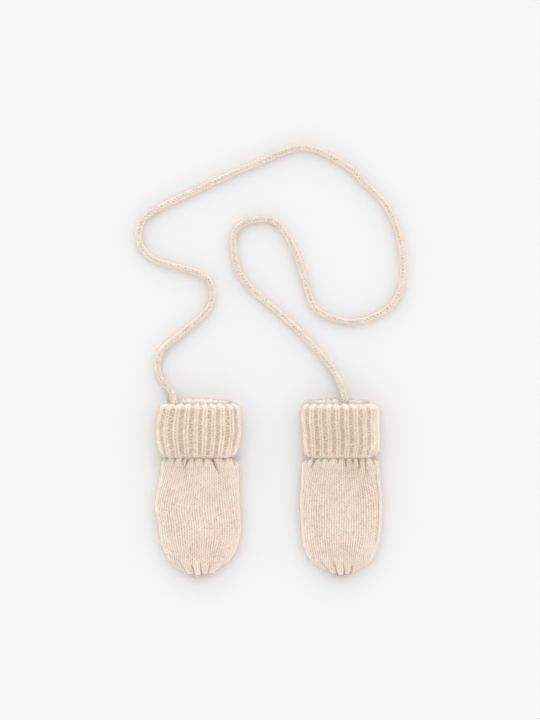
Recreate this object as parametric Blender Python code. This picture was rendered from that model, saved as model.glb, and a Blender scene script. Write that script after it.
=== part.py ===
"""A pair of baby mittens knitted in wool, laid flat and joined by one knitted string.

Each mitten is a hand of two panels, drawn together at its tip, and a ribbed cuff that is
folded at its top and turned back outside, so that each side of the cuff is two layers.
Units are metres. +X runs towards the right mitten, +Y towards the cuffs and +Z up from the
surface that the mittens lie on. The origin is under the middle of the two mittens.
"""

import math
from collections import namedtuple

import bmesh
import bpy
import numpy as np

MM = 0.001

# Driving dimensions of a mitten
MITTEN_CENTRE_X = {"left": -51.7 * MM, "right": 53.8 * MM}
HEM_Y = 23.2 * MM
FRONT_FOLD_HEIGHT = 39.8 * MM
BACK_FOLD_HEIGHT = 41.8 * MM

# Walls, and the gaps that keep neighbouring pieces apart
HAND_WALL = 2.4 * MM
RIB_WALL = 2.0 * MM
RIB_HEIGHT = 1.1 * MM
BACK_RIB_HEIGHT = 0.4 * MM
LAYER_GAP = 0.4 * MM
SEAM_GAP = 0.3 * MM

# Heights above the surface that the mittens lie on
CUFF_SEAM_Z = 5.5 * MM
CUFF_TOP_Z = 11.7 * MM
CUFF_CROWN = 0.8 * MM

# Where the cuff's inner layer ends just above the hand, hidden under the turned-back layer
CUFF_ROOT_HEIGHT = 6.4 * MM

# Roundings of the sides
CUFF_CORNER = 6.5 * MM
HAND_CORNER = 7.0 * MM
BACK_CORNER = 4.5 * MM
HAND_CROWN_SHARE = 0.3
LEAST_CORNER = 0.8 * MM
MOST_CORNER_SHARE = 0.9

STRING_DIAMETER = 4.3 * MM
STRING_CENTRE_Z = 2.2 * MM
STRING_POINTS = 78

# How the mesh is divided across a mitten
USUAL_HALF_WIDTH = 31.0 * MM
SIDE_STEPS = 4
FRONT_FLAT_COUNT = 16
BACK_FLAT_COUNT = 4

# Sections of the hand in mm, from the wrist to the tip: the distance below the hem, the heights
# of the side seam, the front and the underside, and both edges from the mitten's centre line
HandSection = namedtuple("HandSection", "below_hem seam top bottom left_mitten right_mitten")
HAND_SECTIONS = (
    HandSection(-6.1, 5.5, 8.0, 3.0, (-25.4, 24.8), (-25.0, 23.6)),
    HandSection(-0.8, 5.4, 8.1, 3.0, (-25.8, 25.2), (-25.2, 23.9)),
    HandSection(1.6, 5.1, 8.6, 2.4, (-27.6, 27.4), (-27.4, 26.4)),
    HandSection(4.6, 4.4, 9.2, 0.7, (-29.2, 30.3), (-30.0, 29.0)),
    HandSection(10.0, 3.4, 9.1, 0.0, (-29.4, 30.7), (-30.3, 29.4)),
    HandSection(20.0, 3.0, 8.8, 0.0, (-31.2, 30.8), (-31.1, 30.2)),
    HandSection(30.0, 3.0, 8.6, 0.0, (-33.0, 31.0), (-31.5, 31.2)),
    HandSection(40.0, 3.0, 8.5, 0.0, (-33.5, 31.5), (-31.8, 31.4)),
    HandSection(50.0, 3.0, 8.5, 0.0, (-31.5, 32.0), (-31.1, 30.8)),
    HandSection(60.0, 3.0, 8.4, 0.0, (-30.2, 31.4), (-30.1, 29.8)),
    HandSection(69.0, 3.0, 8.2, 0.0, (-27.9, 29.0), (-28.2, 27.5)),
    HandSection(76.0, 3.0, 7.8, 0.0, (-24.8, 25.4), (-25.2, 24.6)),
    HandSection(81.0, 3.0, 7.2, 0.0, (-20.6, 20.2), (-20.2, 20.0)),
    HandSection(85.0, 3.0, 6.3, 0.0, (-15.4, 14.6), (-13.8, 12.8)),
    HandSection(87.4, 3.0, 4.9, 0.9, (-10.2, 9.8), (-8.8, 7.8)),
    HandSection(88.2, 3.0, 3.0, 3.0, (-6.6, 6.4), (-5.8, 5.2)),
)
# The inside of a panel reaches at least this share of its outside's height
LEAST_INSIDE_SHARE = 0.1
# Rows that the hand's mesh takes along those sections, closer where the cloth is gathered
NEAR_WRIST_ROWS = (0, 0.6, 1, 1.5, 2, 2.5, 3, 3.4, 3.8, 4.3)
NEAR_TIP_ROWS = (10, 10.5, 11, 11.5, 12, 12.5, 13, 13.5, 14, 14.5, 15)
HAND_ROWS = (*NEAR_WRIST_ROWS, 5, 5.5, 6, 6.5, 7, 7.5, 8, 9, *NEAR_TIP_ROWS)
BACK_ROWS = (0, 1, 2, 3, 4, 6, 8, 10, 11, 12, 13, 14, 15)
# From this section to the last one, the inside is drawn back from the tip by the wall
TIP_START = 10

# Sections of the cuff in mm, from the hem up: the height above the hem and both edges
CuffSection = namedtuple("CuffSection", "above_hem left_mitten right_mitten")
CUFF_SECTIONS = (
    CuffSection(0.0, (-29.6, 28.9), (-28.9, 27.6)),
    CuffSection(3.0, (-30.2, 29.5), (-29.7, 28.4)),
    CuffSection(8.0, (-31.5, 30.7), (-30.2, 29.6)),
    CuffSection(14.0, (-32.9, 32.2), (-30.6, 29.9)),
    CuffSection(20.0, (-33.3, 32.9), (-30.8, 29.6)),
    CuffSection(26.0, (-32.6, 32.4), (-31.7, 29.5)),
    CuffSection(32.0, (-31.4, 32.1), (-31.8, 29.8)),
    CuffSection(36.5, (-30.3, 31.6), (-31.3, 28.9)),
    CuffSection(39.5, (-29.2, 30.0), (-30.4, 26.6)),
    CuffSection(41.8, (-27.8, 27.0), (-28.8, 22.6)),
)
OUTER_ROWS = (0.0, 5.0, 12.0, 19.0, 26.0, 32.0)
INNER_ROWS = (24.0, 14.0)
LINING_ROWS = (20.0,)
FOLD_STEPS = 6

# Grooves between the ribs, in mm: the distance from the centre line 24 mm above the hem, and the width
Groove = namedtuple("Groove", "across width")
GROOVE_HEIGHT = 24.0
# The ribs' round flanks reach this many groove widths from a groove's middle, and the mesh has
# four places across each groove
GROOVE_REACH = 0.75
GROOVE_SHARES = (-0.5, -0.25, 0.25, 0.5)
FRONT_GROOVES = {
    "left": (
        Groove(-27.2, 3.4),
        Groove(-20.9, 4.0),
        Groove(-13.2, 3.8),
        Groove(-5.5, 4.0),
        Groove(1.1, 3.0),
        Groove(7.8, 3.2),
        Groove(14.1, 3.0),
        Groove(21.2, 3.2),
        Groove(27.4, 3.0),
    ),
    "right": (
        Groove(-25.2, 3.2),
        Groove(-18.9, 3.2),
        Groove(-12.7, 3.8),
        Groove(-6.4, 3.4),
        Groove(0.2, 3.4),
        Groove(6.9, 3.6),
        Groove(13.9, 3.8),
        Groove(19.9, 3.2),
        Groove(25.6, 3.0),
    ),
}

# Creases in mm from the mitten's centre line and below the hem: the deep end, the faint end, and
# how deep. Those of the wrist are gathers under the cuff's hem, and those of the tip run together.
Crease = namedtuple("Crease", "across below faint_across faint_below depth")
CREASES = {
    "left": (
        Crease(-22.5, 0.0, -23.4, 3.6, 0.9),
        Crease(-17.0, 0.0, -18.0, 4.4, 1.2),
        Crease(-11.3, 0.0, -12.3, 6.0, 1.3),
        Crease(-7.0, 0.0, -11.0, 8.4, 1.7),
        Crease(-2.4, 0.0, -3.8, 4.2, 1.0),
        Crease(3.3, 0.0, 3.3, 4.4, 1.2),
        Crease(9.4, 0.0, 14.4, 10.6, 1.8),
        Crease(18.4, 0.0, 19.4, 3.2, 0.9),
        Crease(24.4, 0.0, 27.0, 6.4, 1.3),
        Crease(-9.4, 84.2, -15.6, 74.6, 0.9),
        Crease(-2.9, 84.6, -6.1, 77.0, 0.9),
        Crease(1.6, 86.0, 1.4, 77.6, 1.0),
        Crease(6.6, 84.6, 8.0, 78.0, 0.8),
        Crease(12.6, 84.0, 20.7, 74.6, 1.0),
    ),
    "right": (
        Crease(-23.6, 0.0, -26.2, 5.0, 1.0),
        Crease(-18.9, 0.0, -22.4, 7.4, 1.4),
        Crease(-14.2, 0.0, -15.4, 3.4, 0.9),
        Crease(-9.1, 0.0, -9.1, 3.0, 0.9),
        Crease(-2.7, 0.0, -2.7, 4.4, 1.2),
        Crease(2.9, 0.0, 3.2, 7.4, 1.7),
        Crease(7.8, 0.0, 8.2, 4.8, 1.4),
        Crease(12.4, 0.0, 13.2, 10.0, 1.7),
        Crease(17.4, 0.0, 17.4, 16.0, 0.8),
        Crease(22.2, 0.0, 24.2, 5.0, 1.0),
        Crease(-7.8, 85.4, -16.9, 74.8, 0.9),
        Crease(-3.1, 85.0, -6.2, 74.8, 0.9),
        Crease(2.0, 86.4, 1.3, 76.1, 1.0),
        Crease(6.2, 85.6, 10.0, 77.0, 0.9),
        Crease(12.8, 82.6, 15.2, 75.6, 0.7),
    ),
}
CREASE_WIDTH = 1.8 * MM
# A crease keeps clear of the panel's rim, takes at most this share of the height that the cloth
# rises above its seam, and shows this share of its depth on the inside
CREASE_RIM = 0.5 * MM
CREASE_MOST = 0.5
CREASE_INSIDE = 0.7

# The string's route, chosen point by point, in mm: it leaves the mouth of the left cuff over the
# fold of its back, lies on the surface, and ends over the fold of the right cuff's back
STRING_ROUTE = (
    (-69.9, 64.4, 6.95), (-71.0, 68.6, 4.6), (-74.0, 74.5, 2.2), (-82.0, 84.5, 2.2), (-81.5, 99.5, 2.2),
    (-72.0, 109.5, 2.2), (-51.5, 126.0, 2.2), (-43.0, 137.0, 2.2), (-42.0, 150.0, 2.2), (-51.0, 160.0, 2.2),
    (-77.0, 167.0, 2.2), (-89.0, 172.5, 2.2), (-96.5, 183.5, 2.2), (-95.0, 197.0, 2.2), (-85.0, 206.5, 2.2),
    (-49.0, 224.0, 2.2), (10.0, 250.0, 2.2), (25.5, 253.0, 2.2), (38.5, 250.5, 2.2), (61.5, 237.5, 2.2),
    (70.0, 227.5, 2.2), (80.0, 218.5, 2.2), (88.5, 208.0, 2.2), (98.0, 184.0, 2.2), (99.5, 156.5, 2.2),
    (96.0, 144.0, 2.2), (88.0, 133.0, 2.2), (63.5, 123.0, 2.2), (38.5, 130.0, 2.2), (30.5, 141.0, 2.2),
    (23.5, 167.0, 2.2), (12.0, 191.0, 2.2), (2.0, 199.5, 2.2), (-12.0, 199.5, 2.2), (-24.0, 193.5, 2.2),
    (-26.5, 179.0, 2.2), (-19.0, 153.5, 2.2), (11.5, 128.0, 2.2), (48.0, 89.0, 2.2), (57.1, 64.4, 6.95),
)

# Colours in linear light
WOOL_FRONT = (0.80, 0.68, 0.56)
WOOL_BACK = (0.77, 0.65, 0.53)
WOOL_RIB = (0.78, 0.66, 0.54)
WOOL_STRING = (0.81, 0.69, 0.57)
WOOL_ROUGHNESS = 0.95


def clear_scene():
    for thing in list(bpy.data.objects):
        bpy.data.objects.remove(thing, do_unlink=True)


def wool(name, colour):
    """A matt material in one colour of undyed wool."""
    material = bpy.data.materials.new(name)
    material.use_nodes = True
    surface = material.node_tree.nodes["Principled BSDF"]
    surface.inputs["Base Color"].default_value = (*colour, 1.0)
    surface.inputs["Roughness"].default_value = WOOL_ROUGHNESS
    surface.inputs["Metallic"].default_value = 0.0
    return material


def smooth_rows(rows, steps):
    """Values of a smooth curve through the table's rows, at each of the row numbers in steps."""
    rows = np.asarray(rows, float)
    padded = np.vstack([2 * rows[0] - rows[1], rows, 2 * rows[-1] - rows[-2]])
    steps = np.asarray(steps, float)
    first = np.minimum(steps.astype(int), len(rows) - 2)
    part = (steps - first)[:, None]
    before, start, end, after = (padded[first + k] for k in range(4))
    return start + 0.5 * part * (
        end - before
        + part * (2 * before - 5 * start + 4 * end - after + part * (3 * start - before - 3 * end + after))
    )


def arch(across, half, shoulder, crown, corner):
    """Height of a cushion-like arch at each place across it (from -1 to 1), and its outward direction."""
    inset = half * (1 - np.abs(across))
    corner = min(max(corner, LEAST_CORNER), MOST_CORNER_SHARE * half)
    lean = np.clip(1 - inset / corner, 0, 1)
    turn = np.sqrt(1 - lean**2)
    middle = np.clip(half * np.abs(across) / (half - corner), 0, 1)
    height = shoulder * turn + crown * np.cos(0.5 * math.pi * middle) ** 2
    return height, np.sign(across) * lean, turn


def side_steps(count, half, corner):
    """Places across an arch, from its edge to its shoulder, at even angles round the corner."""
    angles = np.linspace(0, 0.5 * math.pi, count + 1)
    return 1 - corner * (1 - np.cos(angles)) / half


def mirrored(places):
    places = sorted({round(float(abs(place)), 5) for place in places})
    return np.array([-place for place in reversed(places) if place] + places)


def crease_depth(side, across, below):
    """How far the creases press the cloth in, at points across the mitten and below its hem."""
    total = np.zeros_like(across)
    for crease in CREASES[side]:
        start = np.array([crease.across, crease.below]) * MM
        run = np.array([crease.faint_across, crease.faint_below]) * MM - start
        offset = np.stack([across - start[0], below - start[1]], axis=-1)
        along = offset @ run / (run @ run)
        nearest = np.minimum(along, 1)[..., None] * run
        distance = np.linalg.norm(offset - nearest, axis=-1)
        fade = np.clip(1 - along, 0, 1) ** 0.7
        total = np.maximum(total, crease.depth * MM * fade * np.exp(-((distance / CREASE_WIDTH) ** 2)))
    return total


def coarse_steps(count):
    steps = list(range(0, count, 2))
    return steps if steps[-1] == count - 1 else [*steps, count - 1]


def rim_faces(fine, coarse, steps):
    """Faces between a fine row of vertices and a coarse one that has a vertex at each of the steps."""
    faces = []
    for k, (start, end) in enumerate(zip(steps[:-1], steps[1:])):
        faces.append([*fine[start : end + 1], coarse[k + 1], coarse[k]])
    return faces


def grid_faces(grid):
    rows, columns = grid.shape
    return [
        [grid[row, column], grid[row, column + 1], grid[row + 1, column + 1], grid[row + 1, column]]
        for row in range(rows - 1)
        for column in range(columns - 1)
    ]


def add_solid(name, points, faces, material):
    """A closed mesh object with its faces pointing out, smooth but for its sharp rims."""
    shape = bmesh.new()
    vertices = [shape.verts.new(point) for point in points]
    for face in faces:
        shape.faces.new([vertices[corner] for corner in face])
    bmesh.ops.recalc_face_normals(shape, faces=shape.faces)
    mesh = bpy.data.meshes.new(name)
    shape.to_mesh(mesh)
    shape.free()
    mesh.shade_smooth()
    mesh.set_sharp_from_angle(angle=math.radians(75))
    mesh.materials.append(material)
    solid = bpy.data.objects.new(name, mesh)
    bpy.context.scene.collection.objects.link(solid)
    return solid


def hand_surface(side, rows, places, facing, inset):
    """Points of one face of a hand's panel. facing is 1 on the front and -1 on the back."""
    edges = [(*section[:4], *getattr(section, f"{side}_mitten")) for section in HAND_SECTIONS]
    table = smooth_rows(edges, rows) * MM
    below, seam, top, bottom, left, right = table.T
    tip_share = np.clip((np.asarray(rows) - TIP_START) / (len(HAND_SECTIONS) - 1 - TIP_START), 0, 1) ** 2
    level = np.maximum(top - seam, 0) if facing > 0 else np.minimum(seam - bottom, seam)
    narrowed = level * (1 - HAND_WALL / level.max())
    thinned = np.maximum(level - HAND_WALL, LEAST_INSIDE_SHARE * level)
    inner_level = narrowed * tip_share + thinned * (1 - tip_share)
    points = np.empty((len(rows), len(places), 3))
    for k in range(len(rows)):
        half = 0.5 * (right[k] - left[k]) - inset
        rise = inner_level[k] if inset else level[k]
        crown = HAND_CROWN_SHARE * rise if facing > 0 else 0.0
        corner = (HAND_CORNER if facing > 0 else BACK_CORNER) - inset
        height, lean, turn = arch(places, half, rise - crown, crown, corner)
        x = 0.5 * (left[k] + right[k]) + places * half
        y = np.full_like(x, below[k] - inset * tip_share[k])
        if facing > 0:
            pressed = crease_depth(side, x, y) * (CREASE_INSIDE if inset else 1.0) * turn
            pressed = np.minimum(pressed * (height > CREASE_RIM), CREASE_MOST * rise)
            x = x - pressed * lean
            height = height - pressed * turn
        edge = seam[k] + facing * 0.5 * SEAM_GAP
        points[k] = np.stack([MITTEN_CENTRE_X[side] + x, HEM_Y - y, edge + facing * height], axis=-1)
    if facing < 0:
        points[..., 2] = np.maximum(points[..., 2], 0.0)
    return points


def hand_panel(side, facing, rows, places, name, material):
    """One panel of a hand: a wall between its outer face and a plainer inner face."""
    row_steps = coarse_steps(len(rows))
    place_steps = coarse_steps(len(places))
    outer = hand_surface(side, np.array(rows), places, facing, 0.0)
    inner = hand_surface(side, np.array(rows)[row_steps], places[place_steps], facing, HAND_WALL)
    outer_grid = np.arange(outer.shape[0] * outer.shape[1]).reshape(outer.shape[:2])
    inner_grid = outer_grid.size + np.arange(inner.shape[0] * inner.shape[1]).reshape(inner.shape[:2])
    faces = grid_faces(outer_grid) + grid_faces(inner_grid)
    faces += rim_faces(outer_grid[0], inner_grid[0], place_steps)
    faces += rim_faces(outer_grid[-1], inner_grid[-1], place_steps)
    faces += rim_faces(outer_grid[:, 0], inner_grid[:, 0], row_steps)
    faces += rim_faces(outer_grid[:, -1], inner_grid[:, -1], row_steps)
    points = np.vstack([outer.reshape(-1, 3), inner.reshape(-1, 3)])
    return add_solid(name, points, faces, material)


def cuff_edges(side, above_hem):
    heights = np.array([section.above_hem for section in CUFF_SECTIONS])
    edges = np.array([getattr(section, f"{side}_mitten") for section in CUFF_SECTIONS])
    step = np.interp(above_hem / MM, heights, np.arange(len(heights)))
    return smooth_rows(edges, [step])[0] * MM


def groove_depth(side, places, above_hem, rib_height):
    """How far each place across the cuff lies below the crests of its ribs."""
    left, right = cuff_edges(side, GROOVE_HEIGHT * MM)
    centre, half = 0.5 * (left + right), 0.5 * (right - left)
    depth = np.zeros_like(places)
    for groove in FRONT_GROOVES[side]:
        distance = np.abs(places - (groove.across * MM - centre) / half) * half
        reach = distance / (GROOVE_REACH * groove.width * MM)
        depth = np.maximum(depth, rib_height * np.clip(1.15 * (1 - reach**2), 0, 1))
    return depth


def front_places(side):
    """Places across the front of a cuff: four at each groove, one on each crest, a few round the sides."""
    left, right = cuff_edges(side, GROOVE_HEIGHT * MM)
    centre, half = 0.5 * (left + right), 0.5 * (right - left)
    places = [
        (groove.across * MM - centre + share * groove.width * MM) / half
        for groove in FRONT_GROOVES[side]
        for share in GROOVE_SHARES
    ]
    places += [0.5 * (before + after) for before, after in zip(places[3::4], places[4::4])]
    outermost = max(map(abs, places)) + 0.01
    sides = [place for place in side_steps(SIDE_STEPS, half, CUFF_CORNER) if place > outermost]
    return np.array(sorted([*places, *sides, *(-place for place in sides)]))


def cuff_profile(fold_height, rib_height):
    """The cuff's folded wall from the hem up, over the fold and down inside, as rows of height above
    the hem, depth under the ribs' crests, the share of the ribs' relief there, and fineness."""
    outer_wall = rib_height + RIB_WALL
    depth = outer_wall + LAYER_GAP + RIB_WALL
    fold_radius = 0.5 * depth
    fold_start = fold_height - fold_radius
    gap_radius = 0.5 * LAYER_GAP
    rows = [(height * MM, 0.0, 1.0, True) for height in OUTER_ROWS]
    for angle in np.linspace(0, math.pi, FOLD_STEPS + 1):
        rise = fold_start + fold_radius * math.sin(angle)
        relief = max(0.0, math.cos(angle)) ** 0.5
        rows.append((rise, fold_radius * (1 - math.cos(angle)), relief, angle < 0.55 * math.pi))
    rows += [(height * MM, depth, 0.0, False) for height in INNER_ROWS]
    rows += [(CUFF_ROOT_HEIGHT, depth, 0.0, False), (CUFF_ROOT_HEIGHT, depth - RIB_WALL, 0.0, False)]
    rows += [(height * MM, depth - RIB_WALL, 0.0, False) for height in LINING_ROWS]
    for angle in np.linspace(0, math.pi, 4):
        inner_depth = outer_wall + gap_radius * (1 + math.cos(angle))
        rows.append((fold_start + gap_radius * math.sin(angle), inner_depth, 0.0, False))
    rows += [(height * MM, outer_wall, 0.0, False) for height in reversed(LINING_ROWS)]
    rows.append((0.0, outer_wall, 0.0, False))
    return rows


def cuff_side(side, facing, places, fold_height, rib_height, name, material):
    """Half of a cuff, its front or its back: one folded wall swept across the mitten from seam to seam."""
    profile = cuff_profile(fold_height, rib_height)
    steps = coarse_steps(len(places))
    edge_z = CUFF_SEAM_Z + facing * 0.5 * SEAM_GAP
    full_rise = CUFF_TOP_Z - edge_z if facing > 0 else edge_z
    crown = CUFF_CROWN if facing > 0 else 0.0
    points = []
    rings = []
    for above_hem, depth, relief, fine in profile:
        own_places = places if fine else places[steps]
        left, right = cuff_edges(side, above_hem)
        half = 0.5 * (right - left) - depth
        corner = CUFF_CORNER if facing > 0 else BACK_CORNER + RIB_WALL
        height, lean, turn = arch(own_places, half, full_rise - crown - depth, crown, corner - depth)
        pressed = groove_depth(side, own_places, above_hem, rib_height) * relief
        if facing < 0:
            pressed = pressed * np.abs(lean)
        x = MITTEN_CENTRE_X[side] + 0.5 * (left + right) + own_places * half - pressed * lean
        z = edge_z + facing * (height - pressed * turn * (height > 0))
        y = np.full_like(x, HEM_Y + above_hem)
        rings.append(len(points) + np.arange(len(own_places)))
        points += list(np.stack([x, y, z], axis=-1))
    faces = []
    for k, ring in enumerate(rings):
        following = rings[(k + 1) % len(rings)]
        if len(ring) == len(following):
            faces += grid_faces(np.stack([ring, following]))
        elif len(ring) > len(following):
            faces += rim_faces(ring, following, steps)
        else:
            faces += rim_faces(following, ring, steps)
    faces.append([ring[0] for ring in rings])
    faces.append([ring[-1] for ring in rings])
    return add_solid(name, points, faces, material)


def plain_places(corner, flat_count):
    """Places across a plain panel: even steps over its flat, and closer ones round its sides."""
    flat = np.linspace(0, 1 - corner / USUAL_HALF_WIDTH, flat_count)
    return mirrored([*flat, *side_steps(SIDE_STEPS, USUAL_HALF_WIDTH, corner)])


def make_mitten(side, materials):
    front_hand = (HAND_ROWS, plain_places(HAND_CORNER, FRONT_FLAT_COUNT))
    back_hand = (BACK_ROWS, plain_places(BACK_CORNER, BACK_FLAT_COUNT))
    hand_panel(side, 1, *front_hand, f"{side}_hand_front", materials["front"])
    hand_panel(side, -1, *back_hand, f"{side}_hand_back", materials["back"])
    front = (front_places(side), FRONT_FOLD_HEIGHT, RIB_HEIGHT)
    back = (plain_places(BACK_CORNER + RIB_WALL, BACK_FLAT_COUNT), BACK_FOLD_HEIGHT, BACK_RIB_HEIGHT)
    cuff_side(side, 1, *front, f"{side}_cuff_front", materials["rib"])
    cuff_side(side, -1, *back, f"{side}_cuff_back", materials["rib"])


def string_points():
    """Even points of a smooth curve through the string's route, closer where its ends climb."""
    route = np.array(STRING_ROUTE) * MM
    fine = smooth_rows(route, np.linspace(0, len(route) - 1, 20 * len(route)))
    fine[:, 2] = np.maximum(fine[:, 2], STRING_CENTRE_Z)
    reach = np.concatenate([[0], np.cumsum(np.linalg.norm(np.diff(fine, axis=0), axis=1))])
    ends = STRING_DIAMETER * np.array([1.2, 3.5])
    even = np.sort([*np.linspace(0, reach[-1], STRING_POINTS), *ends, *(reach[-1] - ends)])
    return np.stack([np.interp(even, reach, fine[:, axis]) for axis in range(3)], axis=-1)


def make_string(material):
    points = string_points()
    curve = bpy.data.curves.new("string", "CURVE")
    curve.dimensions = "3D"
    curve.bevel_depth = 0.5 * STRING_DIAMETER
    curve.bevel_resolution = 2
    curve.use_fill_caps = True
    spline = curve.splines.new("POLY")
    spline.points.add(len(points) - 1)
    for slot, point in zip(spline.points, points):
        slot.co = (*point, 1.0)
    curve.materials.append(material)
    bpy.context.scene.collection.objects.link(bpy.data.objects.new("string", curve))


def main():
    clear_scene()
    materials = {
        "front": wool("knit_wool_front", WOOL_FRONT),
        "back": wool("knit_wool_back", WOOL_BACK),
        "rib": wool("ribbed_wool", WOOL_RIB),
    }
    for side in MITTEN_CENTRE_X:
        make_mitten(side, materials)
    make_string(wool("string_wool", WOOL_STRING))


main()
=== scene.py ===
"""Looks of a pair of baby mittens knitted in undyed wool, laid flat and joined by a knitted string.

Every piece stands where the part has its plain solid, and follows the same sections. What is added
here is the knitting: rounded yarn legs in plain knit and in 1x1 rib, gathers, seams and loose fibres.
Units are metres. +X runs towards the right mitten, +Y towards the cuffs and +Z up from the floor.
"""

import math
from collections import namedtuple

import bpy
import numpy as np
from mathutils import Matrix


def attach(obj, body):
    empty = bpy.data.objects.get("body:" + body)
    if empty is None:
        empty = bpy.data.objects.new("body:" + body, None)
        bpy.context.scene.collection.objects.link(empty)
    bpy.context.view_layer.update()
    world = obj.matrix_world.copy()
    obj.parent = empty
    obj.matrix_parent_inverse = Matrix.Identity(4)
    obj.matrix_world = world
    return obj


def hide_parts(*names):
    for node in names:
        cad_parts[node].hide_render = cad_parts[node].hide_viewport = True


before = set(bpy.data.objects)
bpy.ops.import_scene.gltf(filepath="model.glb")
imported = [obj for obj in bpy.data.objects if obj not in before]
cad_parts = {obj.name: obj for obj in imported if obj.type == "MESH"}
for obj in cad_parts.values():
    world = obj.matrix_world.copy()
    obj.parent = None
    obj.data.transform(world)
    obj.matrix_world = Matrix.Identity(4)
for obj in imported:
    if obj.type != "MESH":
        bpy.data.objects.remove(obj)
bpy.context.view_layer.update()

MM = 0.001


def table(kind, *rows):
    """The rows of a table, with the names of its columns."""
    return tuple(kind(*row) for row in rows)


# The photograph's frame, and the camera straight above its middle
IMAGE_HEIGHT = 720
METRES_PER_PIXEL = 0.74 * MM
VIEW_CENTRE = (0.9 * MM, 95.5 * MM)
LENS = 85.0
SENSOR_HEIGHT = 36.0
VIEW_FOCUS_Z = 6.0 * MM
VIEW_RANGE = (0.01, 20)

# Sizes that the part's solids have. Only the round of the underside's edge is tighter here.
# Where there are two, 1 is the front and -1 the back.
MITTEN_CENTRE_X = {"left": -51.7 * MM, "right": 53.8 * MM}
HEM_Y = 23.2 * MM
FOLD_HEIGHT = {1: 39.8 * MM, -1: 41.8 * MM}
HAND_WALL = 2.4 * MM
RIB_WALL = 2.0 * MM
RIB_HEIGHT = {1: 1.1 * MM, -1: 0.4 * MM}
LAYER_GAP = 0.4 * MM
CUFF_SEAM_Z = 5.5 * MM
CUFF_TOP_Z = 11.7 * MM
CUFF_CROWN = {1: 0.8 * MM, -1: 0.0}
CUFF_ROOT_HEIGHT = 6.4 * MM
CUFF_CORNER = {1: 6.5 * MM, -1: 2.2 * MM + RIB_WALL}
HAND_CORNER = {1: 7.0 * MM, -1: 2.2 * MM}
HAND_CROWN_SHARE = {1: 0.3, -1: 0.0}
LEAST_CORNER = 0.8 * MM
MOST_CORNER_SHARE = 0.9
STRING_DIAMETER = 4.3 * MM
STRING_CENTRE_Z = 2.2 * MM

# Sections of the hand in mm, from the wrist to the tip: the distance below the hem, the heights
# of the side seam, the front and the underside, and both edges from the mitten's centre line
HandSection = namedtuple("HandSection", "below_hem seam top bottom left_mitten right_mitten")
HAND_SECTIONS = table(
    HandSection,
    (-6.1, 5.5, 8.0, 3.0, (-25.4, 24.8), (-25.0, 23.6)),
    (-0.8, 5.4, 8.1, 3.0, (-25.8, 25.2), (-25.2, 23.9)),
    (1.6, 5.1, 8.6, 2.4, (-27.6, 27.4), (-27.4, 26.4)),
    (4.6, 4.4, 9.2, 0.7, (-29.2, 30.3), (-30.0, 29.0)),
    (10.0, 3.4, 9.1, 0.0, (-29.4, 30.7), (-30.3, 29.4)),
    (20.0, 3.0, 8.8, 0.0, (-31.2, 30.8), (-31.1, 30.2)),
    (30.0, 3.0, 8.6, 0.0, (-33.0, 31.0), (-31.5, 31.2)),
    (40.0, 3.0, 8.5, 0.0, (-33.5, 31.5), (-31.8, 31.4)),
    (50.0, 3.0, 8.5, 0.0, (-31.5, 32.0), (-31.1, 30.8)),
    (60.0, 3.0, 8.4, 0.0, (-30.2, 31.4), (-30.1, 29.8)),
    (69.0, 3.0, 8.2, 0.0, (-27.9, 29.0), (-28.2, 27.5)),
    (76.0, 3.0, 7.8, 0.0, (-24.8, 25.4), (-25.2, 24.6)),
    (81.0, 3.0, 7.2, 0.0, (-20.6, 20.2), (-20.2, 20.0)),
    (85.0, 3.0, 6.3, 0.0, (-15.4, 14.6), (-13.8, 12.8)),
    (87.4, 3.0, 4.9, 0.9, (-10.2, 9.8), (-8.8, 7.8)),
    (88.2, 3.0, 3.0, 3.0, (-6.6, 6.4), (-5.8, 5.2)),
)
WIDEST = HAND_SECTIONS[7]

# Sections of the cuff in mm, from the hem up: the height above the hem and both edges
CuffSection = namedtuple("CuffSection", "above_hem left_mitten right_mitten")
CUFF_SECTIONS = table(
    CuffSection,
    (0.0, (-29.6, 28.9), (-28.9, 27.6)),
    (3.0, (-30.2, 29.5), (-29.7, 28.4)),
    (8.0, (-31.5, 30.7), (-30.2, 29.6)),
    (14.0, (-32.9, 32.2), (-30.6, 29.9)),
    (20.0, (-33.3, 32.9), (-30.8, 29.6)),
    (26.0, (-32.6, 32.4), (-31.7, 29.5)),
    (32.0, (-31.4, 32.1), (-31.8, 29.8)),
    (36.5, (-30.3, 31.6), (-31.3, 28.9)),
    (39.5, (-29.2, 30.0), (-30.4, 26.6)),
    (41.8, (-27.8, 27.0), (-28.8, 22.6)),
)

# Grooves between the ribs, in mm: the distance from the centre line 24 mm above the hem, and the width
Groove = namedtuple("Groove", "across width")
GROOVE_HEIGHT = 24.0
FRONT_GROOVES = {
    "left": table(
        Groove,
        (-27.2, 3.4), (-20.9, 4.0), (-13.2, 3.8), (-5.5, 4.0), (1.1, 3.0), (7.8, 3.2),
        (14.1, 3.0), (21.2, 3.2), (27.4, 3.0),
    ),
    "right": table(
        Groove,
        (-25.2, 3.2), (-18.9, 3.2), (-12.7, 3.8), (-6.4, 3.4), (0.2, 3.4), (6.9, 3.6),
        (13.9, 3.8), (19.9, 3.2), (25.6, 3.0),
    ),
}
BACK_GROOVE_PLACES = (-26.2, -19.4, -12.9, -6.2, 0.4, 6.9, 13.5, 20.0, 26.6)
BACK_GROOVES = tuple(Groove(across, 3.2) for across in BACK_GROOVE_PLACES)

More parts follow.
